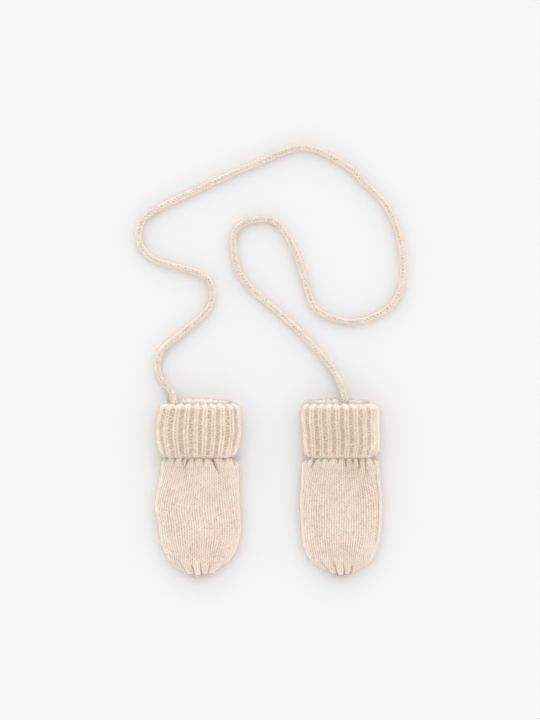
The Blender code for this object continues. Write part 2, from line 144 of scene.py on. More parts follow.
# Creases in mm from the mitten's centre line and below the hem: the deep end, the faint end, and
# how deep. Those of the wrist are gathers under the cuff's hem, and those of the tip run together.
Crease = namedtuple("Crease", "across below faint_across faint_below depth")
FRONT_CREASES = {
    "left": table(
        Crease,
        (-22.5, 0.0, -23.4, 3.6, 0.9),
        (-17.0, 0.0, -18.0, 4.4, 1.2),
        (-11.3, 0.0, -12.3, 6.0, 1.3),
        (-7.0, 0.0, -11.0, 8.4, 1.7),
        (-2.4, 0.0, -3.8, 4.2, 1.0),
        (3.3, 0.0, 3.3, 4.4, 1.2),
        (9.4, 0.0, 14.4, 10.6, 1.8),
        (18.4, 0.0, 19.4, 3.2, 0.9),
        (24.4, 0.0, 27.0, 6.4, 1.3),
        (-9.4, 84.2, -15.6, 74.6, 0.9),
        (-2.9, 84.6, -6.1, 77.0, 0.9),
        (1.6, 86.0, 1.4, 77.6, 1.0),
        (6.6, 84.6, 8.0, 78.0, 0.8),
        (12.6, 83.0, 20.0, 74.6, 0.6),
    ),
    "right": table(
        Crease,
        (-23.6, 0.0, -26.2, 5.0, 1.0),
        (-18.9, 0.0, -22.4, 7.4, 1.4),
        (-14.2, 0.0, -15.4, 3.4, 0.9),
        (-9.1, 0.0, -9.1, 3.0, 0.9),
        (-2.7, 0.0, -2.7, 4.4, 1.2),
        (2.9, 0.0, 3.2, 7.4, 1.7),
        (7.8, 0.0, 8.2, 4.8, 1.4),
        (12.4, 0.0, 13.2, 10.0, 1.7),
        (17.4, 0.0, 17.4, 16.0, 0.8),
        (22.2, 0.0, 24.2, 5.0, 1.0),
        (-7.8, 85.4, -16.9, 74.8, 0.9),
        (-3.1, 85.0, -6.2, 74.8, 0.9),
        (2.0, 86.4, 1.3, 76.1, 1.0),
        (6.2, 85.6, 10.0, 77.0, 0.9),
        (12.8, 82.6, 15.2, 75.6, 0.7),
    ),
}
# The undersides have gathers of their own, in other places
BACK_CREASES = {
    "left": table(
        Crease,
        (-21.0, 0.0, -22.6, 5.2, 1.0),
        (-15.2, 0.0, -15.8, 3.6, 1.0),
        (-8.8, 0.0, -10.4, 7.4, 1.4),
        (-3.0, 0.0, -3.2, 4.6, 1.1),
        (2.2, 0.0, 3.0, 6.0, 1.3),
        (8.6, 0.0, 9.4, 4.0, 1.0),
        (13.9, 0.0, 16.8, 8.8, 1.5),
        (21.8, 0.0, 23.4, 4.8, 1.0),
        (-10.6, 84.0, -17.8, 75.6, 0.9),
        (-5.0, 84.8, -8.4, 76.4, 0.9),
        (0.4, 86.0, 0.2, 78.4, 1.0),
        (5.4, 85.0, 8.2, 76.2, 0.9),
        (11.0, 84.0, 18.0, 76.0, 0.9),
    ),
    "right": table(
        Crease,
        (-22.2, 0.0, -24.0, 4.4, 0.9),
        (-16.6, 0.0, -19.0, 8.2, 1.4),
        (-10.8, 0.0, -11.4, 4.0, 1.0),
        (-5.6, 0.0, -6.2, 5.6, 1.2),
        (0.4, 0.0, 0.4, 3.8, 1.0),
        (5.8, 0.0, 7.4, 8.0, 1.5),
        (11.9, 0.0, 12.4, 4.2, 1.0),
        (18.6, 0.0, 20.6, 6.2, 1.2),
        (-9.0, 84.4, -16.0, 75.2, 0.9),
        (-3.8, 85.4, -6.8, 77.0, 0.9),
        (1.2, 86.2, 1.6, 77.4, 1.0),
        (7.0, 85.0, 11.8, 75.8, 0.9),
    ),
}
# A crease's trough and soft shoulders, the shoulders' share of its depth, the rim that it keeps clear
# of, the most that it takes of the cloth's rise, and how much deeper it is than its row says
CREASE_WIDTH = 0.6 * MM
CREASE_SHOULDER = 2.2 * MM
SHOULDER_SHARE = 0.25
CREASE_RIM = 0.5 * MM
CREASE_MOST = 0.62
CREASE_SHARE = 1.2
# Creases above this, in mm below the hem, are the wrist's. The tip's are shallower, without shoulders.
WRIST_END = 20
TIP_CREASE_SHARE = 0.8
# The cloth puffs out between two creases: how high, its width as a share of their distance, how much
# wider it gets on its way, how far it follows them, and where and how softly it ends
PUFF_HEIGHT = 2.0 * MM
PUFF_WIDTH = 0.47
PUFF_WIDENING = 0.3
PUFF_REACH = 1.6
PUFF_END = 0.35
PUFF_SOFTNESS = 0.7

# The string's route, given point by point, in mm: it leaves the mouth of the left cuff over the
# fold of its back, lies on the floor, and ends over the fold of the right cuff's back
STRING_ROUTE = (
    (-69.9, 64.4, 6.95), (-71.0, 68.6, 4.6), (-74.0, 74.5, 2.2), (-82.0, 84.5, 2.2), (-81.5, 99.5, 2.2),
    (-72.0, 109.5, 2.2), (-51.5, 126.0, 2.2), (-43.0, 137.0, 2.2), (-42.0, 150.0, 2.2), (-51.0, 160.0, 2.2),
    (-77.0, 167.0, 2.2), (-89.0, 172.5, 2.2), (-96.5, 183.5, 2.2), (-95.0, 197.0, 2.2), (-85.0, 206.5, 2.2),
    (-49.0, 224.0, 2.2), (10.0, 250.0, 2.2), (25.5, 253.0, 2.2), (38.5, 250.5, 2.2), (61.5, 237.5, 2.2),
    (70.0, 227.5, 2.2), (80.0, 218.5, 2.2), (88.5, 208.0, 2.2), (98.0, 184.0, 2.2), (99.5, 156.5, 2.2),
    (96.0, 144.0, 2.2), (88.0, 133.0, 2.2), (63.5, 123.0, 2.2), (38.5, 130.0, 2.2), (30.5, 141.0, 2.2),
    (23.5, 167.0, 2.2), (12.0, 191.0, 2.2), (2.0, 199.5, 2.2), (-12.0, 199.5, 2.2), (-24.0, 193.5, 2.2),
    (-26.5, 179.0, 2.2), (-19.0, 153.5, 2.2), (11.5, 128.0, 2.2), (48.0, 89.0, 2.2), (57.1, 64.4, 6.95),
)

# The knitting: a stitch of plain knit, of the rib and of the string
KNIT_WALE = 3.85 * MM
KNIT_ROW = 2.07 * MM
RIB_ROW = 2.26 * MM
STRING_ROW = 2.7 * MM
HAND_WALES = 17
STRING_WALES = 4
# How high the yarn's legs stand above the gaps between them
KNIT_RELIEF = 0.95 * MM
RIB_RELIEF = 0.9 * MM
PURL_RELIEF = 0.6 * MM
STRING_RELIEF = 0.7 * MM
# A leg of a stitch: half its width as a share of its wale, its lean in degrees, and half its length
# as a share of its row. Then how uneven legs are in lean, width, length, height and place.
Leg = namedtuple("Leg", "half_width lean")
KNIT_LEG = Leg(0.24, 17)
RIB_LEG = Leg(0.225, 24)
STRING_LEG = Leg(0.24, 30)
LEG_HALF_LENGTH = 0.84
LEG_SCATTER = (3, 0.06, 0.08, 0.10, 0.045)
SHIFT_ACROSS = 0.2
# A purl bar's slant and half its height in rows, how low its ends are, and how uneven its slant and
# height are
PURL_SLANT = 0.2
PURL_HALF_HEIGHT = 0.44
PURL_END_DROP = 0.25
PURL_SCATTER = (0.14, 0.15)

# Slow unevenness: its strength, and the size of its bumps both ways, in stitches or metres
Wave = namedtuple("Wave", "strength x y")
WALE_WANDER = Wave(0.12, 3.1, 7.3)
ROW_SWAY = Wave(0.25, 4.2, 5.1)
TENSION = Wave(0.24, 2.6, 5.7)
MEAN_TENSION = 0.86
RIB_SWAY = Wave(0.3, 1.3, 6.1)
CLOTH_WAVE = Wave(0.35 * MM, 17 * MM, 14 * MM)
STRING_TWIST = Wave(2.4, 110 * MM, 1.0)
STRING_SWAY = Wave(0.25, 12 * MM, 1.0)
STRING_FLATNESS = Wave(0.10, 30 * MM, 1.0)
NOISE_CELLS = 64
KNIT_SEEDS = {("left", 1): 11, ("left", -1): 17, ("right", 1): 23, ("right", -1): 29}
RIB_SEEDS = {("left", 1): 31, ("left", -1): 37, ("right", 1): 41, ("right", -1): 47}
STRING_SEED = 61
# Stitches are counted from this, so that none falls below 0
SPARE_STITCHES = 4

# How finely the meshes are divided. A hand has points for each wale and row, of which its plain
# inside skips some, and a cuff has one step, with a few points in its hem and its hidden layers.
HandSamples = namedtuple("HandSamples", "wale row inside")
HAND_SAMPLES = {1: HandSamples(12, 6, 6), -1: HandSamples(6, 4, 3)}
CUFF_STEP = {1: 0.35 * MM, -1: 0.52 * MM}
HEM_POINTS = 13
LINING_POINTS = 12
LAYER_POINTS = 14

# The cloth stands this far inside the outline of its fibres: at the hand's edges, at its tip as a
# share of its length, and at the cuff's edges. A narrow tip is trimmed by this share at most.
HAND_TRIM = {"left": 1.2 * MM, "right": 1.1 * MM}
TIP_TRIM = 0.978
CUFF_TRIM = {"left": 0.8 * MM, "right": 1.5 * MM}
MOST_TRIM_SHARE = 0.1
# Where the hand's inside begins to draw back from the tip, as a row of its sections, and the least
# share of the outside's height that it keeps
TIP_START = 10
LEAST_INSIDE_SHARE = 0.1
# How much closer together the wales stand at the wrist, and how far down that reaches
WRIST_GATHER = 0.32
WRIST_REACH = 17 * MM
# The share of the wales that ends towards the tip, where that begins and how far it goes on
TIP_DECREASE = 0.5
TIP_ROUND = 72 * MM
TIP_ROUND_LENGTH = 12 * MM
# A narrower hand has less relief: how much of it for its width, and the least
RELIEF_GAIN = 1.6
LEAST_RELIEF = 0.4
# The relief's middle lies on the solid's surface, and on the underside nearly all of it inside
MIDDLE = 0.5
UNDERSIDE = 0.45
SEAM_WIDTH = 0.8 * MM
# Puffs and hollows are whole where the cloth stands this high above its seam
PUFF_RISE = 2 * MM
HOLLOW_RISE = 3 * MM
# The side seam, which shows as a groove with painted shade in it: how far it is from the right edge,
# how deep, which also sets its painted shade, and how wide, and where it begins and ends below the
# hem, each with the length over which it does
SIDE_SEAM = {"left": 1.4 * MM, "right": 3.0 * MM}
SIDE_SEAM_DEPTH = {"left": 0.15 * MM, "right": 0.5 * MM}
SIDE_SEAM_WIDTH = 0.5 * MM
SIDE_SEAM_START = (8 * MM, 6 * MM)
SIDE_SEAM_END = (70 * MM, 8 * MM)
# Soft places on the fronts, in mm: where they are across the mitten and away from the hem, how far
# they reach across and along, and how deep they are, or how much painted light or shade they get
Spot = namedtuple("Spot", "across along half_width half_length amount")
DIMPLES = {
    "left": table(Spot, (6.0, 71.0, 11.0, 4.5, 0.9), (-6.0, 66.5, 6.0, 4.5, 0.4)),
    "right": table(Spot, (4.0, 71.5, 10.0, 4.5, 0.8), (-10.0, 68.0, 6.0, 5.0, 0.4)),
}
# Painted light and shade: lighter and darker places painted on the hands' fronts, such as lighter tips and
# sides
HAND_PAINTED_LIGHT_AND_SHADE = {
    "left": table(
        Spot,
        (-10.0, 10.0, 7.0, 9.0, -0.12),
        (11.0, 18.0, 7.0, 9.0, 0.15),
        (28.0, 12.0, 6.0, 14.0, 0.25),
        (7.0, 84.0, 17.0, 7.0, 0.28),
        (26.0, 70.0, 7.0, 12.0, 0.35),
        (-27.0, 71.0, 6.0, 8.0, 0.25),
    ),
    "right": table(
        Spot,
        (8.0, 9.0, 8.0, 9.0, -0.18),
        (16.0, 24.0, 7.0, 16.0, -0.15),
        (0.0, 84.0, 18.0, 7.0, 0.26),
        (25.0, 70.0, 8.0, 14.0, 0.4),
    ),
}
# Painted light and shade: lighter and darker places painted on the cuffs' fronts
CUFF_PAINTED_LIGHT_AND_SHADE = {
    "left": table(
        Spot,
        (12.0, 31.0, 14.0, 7.0, 0.16),
        (-13.0, 16.0, 13.0, 16.0, -0.10),
        (4.0, 4.0, 9.0, 6.0, -0.12),
        (28.0, 2.0, 5.0, 6.0, 0.4),
    ),
    "right": table(
        Spot,
        (1.0, 14.0, 13.0, 15.0, -0.30),
        (-18.0, 8.0, 8.0, 9.0, -0.18),
        (28.0, 16.0, 5.0, 26.0, 0.5),
        (-26.0, 2.0, 4.0, 5.0, 0.3),
    ),
}

# The cuff's hem: how round it is, how far the front's rises at both ends, where that begins and how
# far it goes on as shares of the half width, and how much of that the back has
HEM_ROUND = 1.2 * MM
HEM_LIFT = 1.8 * MM
HEM_LIFT_START = (0.72, 0.28)
BACK_LIFT_SHARE = 0.4
# How much thinner the turned-back layer is at its hem, and how far that reaches
HEM_DIP = 1.0 * MM
HEM_DIP_REACH = 3.0 * MM
# The cast-on edge: how far it reaches along the cloth and into its thickness, its loops' pitch, mean
# height and unevenness, and how much it takes of the grooves and of the stitches
HEM_BAND = 2.2 * MM
HEM_BAND_DEPTH = 0.6
CAST_ON_PITCH = 1.95 * MM
CAST_ON_HEIGHT = 0.55
CAST_ON_WAVE = 0.4
HEM_GROOVE_LOSS = 0.8
HEM_STITCH_LOSS = 0.45
# How much higher the fold of the cuff's back stands in its middle, how much of the grooves a fold
# takes away, how deep the mouth is knitted, and how flat and how low it is from this share of the turn
FOLD_RISE = 1.6 * MM
FOLD_GROOVE_LOSS = 0.75
MOUTH_DEPTH = 12.0 * MM
MOUTH_START = 0.98
MOUTH_SHARE = 0.6
MOUTH_DROP = 0.4
# A rib at the side and the groove beyond it, how far a groove's flanks reach and how flat it is, half
# a valley's share of its groove, and the soft step from rib to valley
SIDE_RIB = 6.4 * MM
SIDE_GROOVE = 3.0 * MM
GROOVE_REACH = 0.75
GROOVE_FLATNESS = 1.15
VALLEY_SHARE = 0.31
VALLEY_SOFTNESS = 0.7 * MM
RIB_OVERRUN = 0.2
# How much longer the cuff's cloth is than its half width, as it comes down at the side
SIDE_DROP = 5 * MM

# How far the meshes' points stay above the floor
FLOOR_CLEARANCE = 0.05 * MM

# Loose fibres: how many on each piece, their size, how uneven their length is and its limit, how far
# they stand out, how they spread in X, Y and Z, how many grow on top against at the sides, how high
# above the floor they begin, and a direction in which none points
HAND_FIBRES = {1: 11000, -1: 3000}
CUFF_FIBRES = {1: 6500, -1: 3000}
STRING_FIBRES = 16000
FIBRE_LENGTH = 2.5 * MM
FIBRE_RADIUS = 0.055 * MM
FIBRE_SCATTER = 0.4
LONGEST_SHARE = 1.7
FIBRE_RISE = (0.25, 1)
NAP_SPREAD = 0.45
NAP_FLATNESS = (1, 1, 0.4)
NAP_ON_TOP = 0.1
NAP_LOWEST = 2.0 * MM
SKEW = (0.3, 0.5, 0.8)

# The string: how far it is tucked into the mouths and tapers there and how thin it gets, how much of
# its relief lies inside it, and how its mesh is divided
STRING_TUCK = 3.5 * MM
STRING_TAPER = 2 * MM
STRING_END_SHARE = 0.35
STRING_INSET = 0.95
STRING_SAMPLES = 7
STRING_SIDES = 28
# Its route is read this finely and softened over this many points. Its ends keep every few of
# them, and their direction is taken over this many.
ROUTE_STEPS = 60
STRING_SOFTENING = 61
ROUTE_END_STEP = 8
ROUTE_END_RUN = 12

# How high points stand in their stitches, which sets the wool's painted shade and light: 0 to 1 from
# a gap in full painted shade to a leg, and on to 2 for pale loose fibres and painted light. These are
# what the gaps, the seams, the insides, the hem and the fibres have, how much light purl bars keep in
# the painted shade, how much painted shade creases get from this depth on, and how much grooves get.
LOW_CREST = 0.1
RIM_CREST = 0.9
HAND_INSIDE_CREST = 0.5
CUFF_INSIDE_CREST = 0.4
HEM_CREST = 0.4
NAP_AND_RIM_LIGHT_CREST = 2.0
PURL_LIGHT_SHARE = 0.85
CREASE_SHADE = 0.65
SHADED_DEPTH = 1.2 * MM
GROOVE_SHADE = 0.12
# The painted light over the cuff's fold and how far down it reaches, from which slope on the pale
# fibres and painted light show at the sides and over how much, and how far round the string they show
FOLD_PAINTED_LIGHT = 1.25
FOLD_PAINTED_LIGHT_REACH = 4.0 * MM
FUZZ_AND_RIM_LIGHT_START = (0.45, 0.45)
STRING_FUZZ_AND_RIM_LIGHT = 0.75

# Between these crests the yarn goes from the painted shade of the gaps to its own colour, and each
# wool has this much of that painted shade
GAP_CREST = 0.15
LEG_CREST = 0.95
GAP_SHADE = (0.55, 0.46, 0.38)
GAP_DEPTH = {"knit_wool_front": 0.84, "knit_wool_back": 0.84, "ribbed_wool": 0.5, "string_wool": 0.9}
# Pale colour of the loose fibres, also used as painted light on the sides where the cloth turns down
FUZZ_AND_RIM_LIGHT_COLOUR = (1.0, 0.905, 0.825)
WOOL_COLOURS = {
    "knit_wool_front": (0.922, 0.803, 0.71),
    "knit_wool_back": (0.89, 0.765, 0.67),
    "ribbed_wool": (0.87, 0.745, 0.645),
    "string_wool": (0.872, 0.774, 0.685),
}
# What the wool's colour is multiplied by in patches, clouds, streaks and dark fibres, and how far
# light fibres stay from white
PINK = (1.02, 0.95, 0.955)
YELLOW = (0.985, 1.01, 0.935)
CLOUD = (0.96, 0.945, 0.93)
STREAK = (0.93, 0.93, 0.93)
DARK_FIBRE = (0.72, 0.66, 0.60)
LIGHT_FIBRE = 0.45
WOOL_SURFACE = {
    "Roughness": 0.95,
    "Specular IOR Level": 0.2,
    "Sheen Weight": 0.1,
    "Sheen Roughness": 0.45,
    "Sheen Tint": (1.0, 0.96, 0.9, 1.0),
}

# The floor, the light from all round, which is stronger towards the horizon, and the window
FLOOR_SIZE = 12.0
FLOOR_SURFACE = {"Base Color": (0.83, 0.83, 0.83, 1.0), "Roughness": 0.9, "Specular IOR Level": 0.0}
HORIZON_STRENGTH = 2.2
ZENITH_STRENGTH = 0.33
WINDOW_ANGLE = math.radians(75)
WINDOW_TILT = math.radians(42)
WINDOW_POWER = 0.715


def smooth_rows(rows, steps):
    """Values of a smooth curve through the table's rows, at each of the row numbers in steps."""
    rows = np.asarray(rows, float)
    padded = np.vstack([2 * rows[0] - rows[1], rows, 2 * rows[-1] - rows[-2]])
    steps = np.asarray(steps, float)
    first = np.minimum(steps.astype(int), len(rows) - 2)
    part = (steps - first)[:, None]
    before, start, end, after = (padded[first + k] for k in range(4))
    return start + 0.5 * part * (
        end - before
        + part * (2 * before - 5 * start + 4 * end - after + part * (3 * start - before - 3 * end + after))
    )


def smooth_noise(x, y, seed):
    """A smooth random surface between -1 and 1, with one bump for each unit of x and y."""
    table = np.random.default_rng(seed).uniform(-1, 1, (NOISE_CELLS, NOISE_CELLS))
    x0, y0 = np.floor(x).astype(int), np.floor(y).astype(int)
    px, py = x - x0, y - y0
    px, py = px * px * (3 - 2 * px), py * py * (3 - 2 * py)
    corner = [[table[(x0 + i) % NOISE_CELLS, (y0 + j) % NOISE_CELLS] for j in (0, 1)] for i in (0, 1)]
    low = corner[0][0] * (1 - px) + corner[1][0] * px
    high = corner[0][1] * (1 - px) + corner[1][1] * px
    return low * (1 - py) + high * py


def wave(kind, x, y, seed):
    """One kind of slow unevenness at points x and y."""
    return kind.strength * smooth_noise(x / kind.x, y / kind.y, seed)


def ramp(values, start, length):
    """0 up to start, 1 from a length beyond it, and even in between."""
    return np.clip((values - start) / length, 0, 1)


def running(lengths):
    """How far each point of a line is along it, from the lengths between them."""
    return np.concatenate([[0], np.cumsum(lengths)])


def spot_strength(spot, across, along):
    """How strong a soft spot is at points of a mitten: 1 in its middle, fading to 0."""
    away = ((across / MM - spot.across) / spot.half_width) ** 2
    away = away + ((along / MM - spot.along) / spot.half_length) ** 2
    return np.exp(-away)


def arch(across, half, shoulder, crown, corner):
    """Height of a cushion-like arch at each place across it, from -1 to 1."""
    inset = half * (1 - np.abs(across))
    corner = min(max(corner, LEAST_CORNER), MOST_CORNER_SHARE * half)
    lean = np.clip(1 - inset / corner, 0, 1)
    middle = np.clip(half * np.abs(across) / (half - corner), 0, 1)
    return shoulder * np.sqrt(1 - lean**2) + crown * np.cos(0.5 * math.pi * middle) ** 2


def even_places(half, shoulder, crown, corner, count):
    """Places across an arch, from -1 to 1, that are the same distance apart along its curve."""
    angles = np.linspace(0, 0.5 * math.pi, 400)
    side = 1 - corner * (1 - np.cos(angles[::-1])) / half
    fine = np.concatenate([-side[::-1], np.linspace(-side[0], side[0], 800)[1:-1], side])
    height = arch(fine, half, shoulder, crown, corner)
    reach = running(np.hypot(half * np.diff(fine), np.diff(height)))
    return np.interp(np.linspace(0, reach[-1], count), reach, fine)


def grid_normals(points, facing):
    """Unit normals of a grid of points, on the side that faces out."""
    normals = np.cross(np.gradient(points, axis=0), np.gradient(points, axis=1))
    length = np.linalg.norm(normals, axis=-1, keepdims=True)
    return facing * normals / np.maximum(length, 1e-12)


def knit_relief(wale, row, wale_width, row_height, seed, shape):
    """The round legs of plain knit stitches: 1 on a leg's crest and 0 in the gaps. wale and row count
    stitches, and each stitch is a V of two legs that opens towards higher rows."""
    random = np.random.default_rng(seed)
    legs, rows = int(2 * wale.max()) + 6, int(row.max()) + 6
    scatter = [amount * random.standard_normal((legs, rows)) for amount in LEG_SCATTER]
    lean = np.radians(shape.lean + scatter[0])
    width, reach, lift = (1 + part for part in scatter[1:4])
    shift = scatter[4]
    own_leg, own_row = np.floor(2 * wale).astype(int), np.floor(row).astype(int)
    best = np.zeros_like(wale)
    for side in (-1, 0, 1):
        for step in (-1, 0, 1):
            leg, stitch = own_leg + side, own_row + step
            index = (np.clip(leg + 2, 0, legs - 1), np.clip(stitch + 2, 0, rows - 1))
            x = (wale - 0.5 * (leg + 0.5) - SHIFT_ACROSS * shift[index]) * wale_width
            y = (row - stitch - 0.5 - shift[index]) * row_height
            turn = np.where(leg % 2 == 0, -lean[index], lean[index])
            along = x * np.sin(turn) + y * np.cos(turn)
            across = x * np.cos(turn) - y * np.sin(turn)
            half_width = shape.half_width * wale_width * width[index]
            half_length = LEG_HALF_LENGTH * row_height * reach[index]
            round_off = (across / half_width) ** 2 + (along / half_length) ** 4
            best = np.maximum(best, lift[index] * np.sqrt(np.clip(1 - round_off, 0, 1)))
    return best


def purl_relief(across, row, seed):
    """The short bars of purl stitches in a rib's valley, across which across runs from -1 to 1."""
    random = np.random.default_rng(seed)
    rows = int(row.max()) + 6
    scatter = [amount * random.standard_normal(rows) for amount in PURL_SCATTER]
    slant = PURL_SLANT * np.where(np.arange(rows) % 2, 1, -1) + scatter[0]
    lift = 1 + scatter[1]
    best = np.zeros_like(row)
    for step in (-1, 0, 1):
        stitch = np.floor(row).astype(int) + step
        index = np.clip(stitch + 2, 0, rows - 1)
        offset = row - stitch - 0.5 - slant[index] * across
        bar = np.sqrt(np.clip(1 - (offset / PURL_HALF_HEIGHT) ** 2, 0, 1))
        bar = bar * (1 - PURL_END_DROP * across**2)
        best = np.maximum(best, lift[index] * bar)
    return best


def crease_depth(creases, across, below):
    """How far the creases press the cloth in, at points across the mitten and below its hem."""
    total = np.zeros_like(across)
    for crease in creases:
        start = np.array([crease.across, crease.below]) * MM
        run = np.array([crease.faint_across, crease.faint_below]) * MM - start
        offset = np.stack([across - start[0], below - start[1]], axis=-1)
        along = offset @ run / (run @ run)
        nearest = np.clip(along, 0, 1)[..., None] * run
        distance = np.linalg.norm(offset - nearest, axis=-1)
        fade = (1 - np.clip(along, 0, 1)) ** 0.5
        at_wrist = crease.below < WRIST_END
        soft = SHOULDER_SHARE if at_wrist else 0.0
        trough = (1 - soft) * np.exp(-((distance / CREASE_WIDTH) ** 2))
        trough = trough + soft * np.exp(-((distance / CREASE_SHOULDER) ** 2))
        depth = crease.depth * MM * (1 if at_wrist else TIP_CREASE_SHARE)
        total = np.maximum(total, depth * fade * trough)
    return total


def puffs(creases, across, below):
    """How far the cloth puffs out between the gathers of the wrist and of the tip."""
    total = np.zeros_like(across)
    for before, after in zip(creases[:-1], creases[1:]):
        if abs(before.below - after.below) > WRIST_END:
            continue
        centre = 0.5 * (before.across + after.across)
        faint_centre = 0.5 * (before.faint_across + after.faint_across)
        run = 0.5 * (before.faint_below + after.faint_below) - 0.5 * (before.below + after.below)
        along = (below / MM - 0.5 * (before.below + after.below)) / run
        followed = np.clip(along, 0, PUFF_REACH)
        middle = centre + (faint_centre - centre) * followed
        width = PUFF_WIDTH * abs(after.across - before.across) * (1 + PUFF_WIDENING * followed)
        ends = np.maximum(along - PUFF_END, 0) / PUFF_SOFTNESS
        bump = np.exp(-(((across / MM - middle) / width) ** 4) - ends**2)
        total = np.maximum(total, bump)
    return total


def with_painted_light_and_shade(crest, painted_spots, across, along):
    """The crests of a knitted surface with painted light and shade in soft lighter and darker places."""
    for painted_spot in painted_spots:
        crest = crest + painted_spot.amount * spot_strength(painted_spot, across, along)
    return np.maximum(crest, 0)


def with_fuzz_and_rim_light(crest, sideways):
    """The crests of a knitted surface, with the pale colour of its fibres and painted light where it
    turns down at its sides.
    """
    steep = ramp(np.abs(sideways), *FUZZ_AND_RIM_LIGHT_START)
    return crest * (1 - steep) + NAP_AND_RIM_LIGHT_CREST * steep


def add_piece(name, points, faces, material, replaced, crest, stitches):
    """A smooth mesh piece that rides with the part. crest is how high each point stands in its stitch,
    which sets its painted shade and light, and stitches is its place in the knitting, counted in wales
    and rows."""
    mesh = bpy.data.meshes.new(name)
    mesh.from_pydata([tuple(point) for point in points.reshape(-1, 3)], [], faces)
    mesh.shade_smooth()
    mesh.materials.append(material)
    heights = mesh.attributes.new("crest", "FLOAT", "POINT")
    heights.data.foreach_set("value", crest.astype(np.float32).ravel())
    corners = np.empty(len(mesh.loops), int)
    mesh.loops.foreach_get("vertex_index", corners)
    layer = mesh.uv_layers.new(name="stitches")
    layer.data.foreach_set("uv", stitches.reshape(-1, 2)[corners].astype(np.float32).ravel())
    piece = bpy.data.objects.new(name, mesh)
    bpy.context.scene.collection.objects.link(piece)
    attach(piece, "root")
    if replaced:
        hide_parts(*replaced)
    return piece


def make_nap(name, points, normals, count, seed, material):
    """Loose wool fibres that stand out of a knitted surface, most of them at its sides. Each is a thin
    three-sided spike."""
    random = np.random.default_rng(seed)
    points, normals = points.reshape(-1, 3), normals.reshape(-1, 3)
    weight = NAP_ON_TOP + (1 - np.abs(normals[:, 2])) ** 1.5
    weight = np.where(points[:, 2] > NAP_LOWEST, weight, 0)
    roots = random.choice(len(points), count, p=weight / weight.sum())
    root, out = points[roots], normals[roots]
    way = random.uniform(*FIBRE_RISE, (count, 1)) * out
    way = way + NAP_SPREAD * random.standard_normal((count, 3)) * NAP_FLATNESS
    way = unit(way)
    length = FIBRE_LENGTH * np.minimum(random.lognormal(0, FIBRE_SCATTER, (count, 1)), LONGEST_SHARE)
    across = unit(np.cross(way, SKEW))
    around = np.cross(way, across)
    foot = root - 2 * FIBRE_RADIUS * out
    turns = (0, 2 * math.pi / 3, 4 * math.pi / 3)
    corners = [foot + FIBRE_RADIUS * (across * math.cos(turn) + around * math.sin(turn)) for turn in turns]
    fibres = np.stack([*corners, root + length * way], axis=1)
    fibres[..., 2] = np.maximum(fibres[..., 2], FLOOR_CLEARANCE)
    one = np.array([(2, 1, 0), (0, 1, 3), (1, 2, 3), (2, 0, 3)])
    faces = (4 * np.arange(count)[:, None, None] + one).reshape(-1, 3).tolist()
    crest = np.full(4 * count, NAP_AND_RIM_LIGHT_CREST)
    stitches = np.zeros((4 * count, 2))
    return add_piece(name, fibres, faces, material, [], crest, stitches)


def unit(vectors):
    """The same vectors with a length of 1."""
    return vectors / np.linalg.norm(vectors, axis=-1, keepdims=True)


def number_grid(points):
    """The numbers of a grid's points, in its rows and columns."""
    rows, columns = points.shape[:2]
    return np.arange(rows * columns).reshape(rows, columns)


def grid_faces(grid):
    """Quads between neighbouring points of a grid of vertex numbers."""
    corners = np.stack([grid[:-1, :-1], grid[:-1, 1:], grid[1:, 1:], grid[1:, :-1]], axis=-1)
    return corners.reshape(-1, 4).tolist()


def coarse_steps(count, every):
    """Every few of a row's numbers, from the first to the last."""
    steps = list(range(0, count - 1, every))
    return [*steps, count - 1]


def mirrored_steps(steps):
    """The same steps, counted from the row's other end."""
    return [steps[-1] - step for step in reversed(steps)]


def rim_faces(fine, coarse, steps):
    """Faces between a fine row of vertices and a coarse one that has a vertex at each of the steps."""
    faces = []
    for k, (start, end) in enumerate(zip(steps[:-1], steps[1:])):
        faces.append([*map(int, fine[start : end + 1]), int(coarse[k + 1]), int(coarse[k])])
    return faces


def hand_table(side, steps):
    """The hand's sections at each step: below the hem, seam, top, bottom, left edge and right edge."""
    rows = [(*section[:4], *getattr(section, f"{side}_mitten")) for section in HAND_SECTIONS]
    below, seam, top, bottom, left, right = smooth_rows(rows, steps).T * MM
    below = np.where(below > 0, below * TIP_TRIM, below)
    trim = np.minimum(HAND_TRIM[side], MOST_TRIM_SHARE * (right - left))
    return below, seam, top, bottom, left + trim, right - trim


def hand_steps(side, facing, samples):
    """Steps along the hand's sections that are evenly spaced on its cloth, and their knitted rows."""
    fine = np.linspace(0, len(HAND_SECTIONS) - 1, 4000)
    below, _, top, bottom, _, _ = hand_table(side, fine)
    reach = running(np.hypot(np.diff(below), np.diff(top if facing > 0 else bottom)))
    count = int(reach[-1] / KNIT_ROW * samples)
    even = np.linspace(0, reach[-1], count)
    return np.interp(even, reach, fine), even / KNIT_ROW


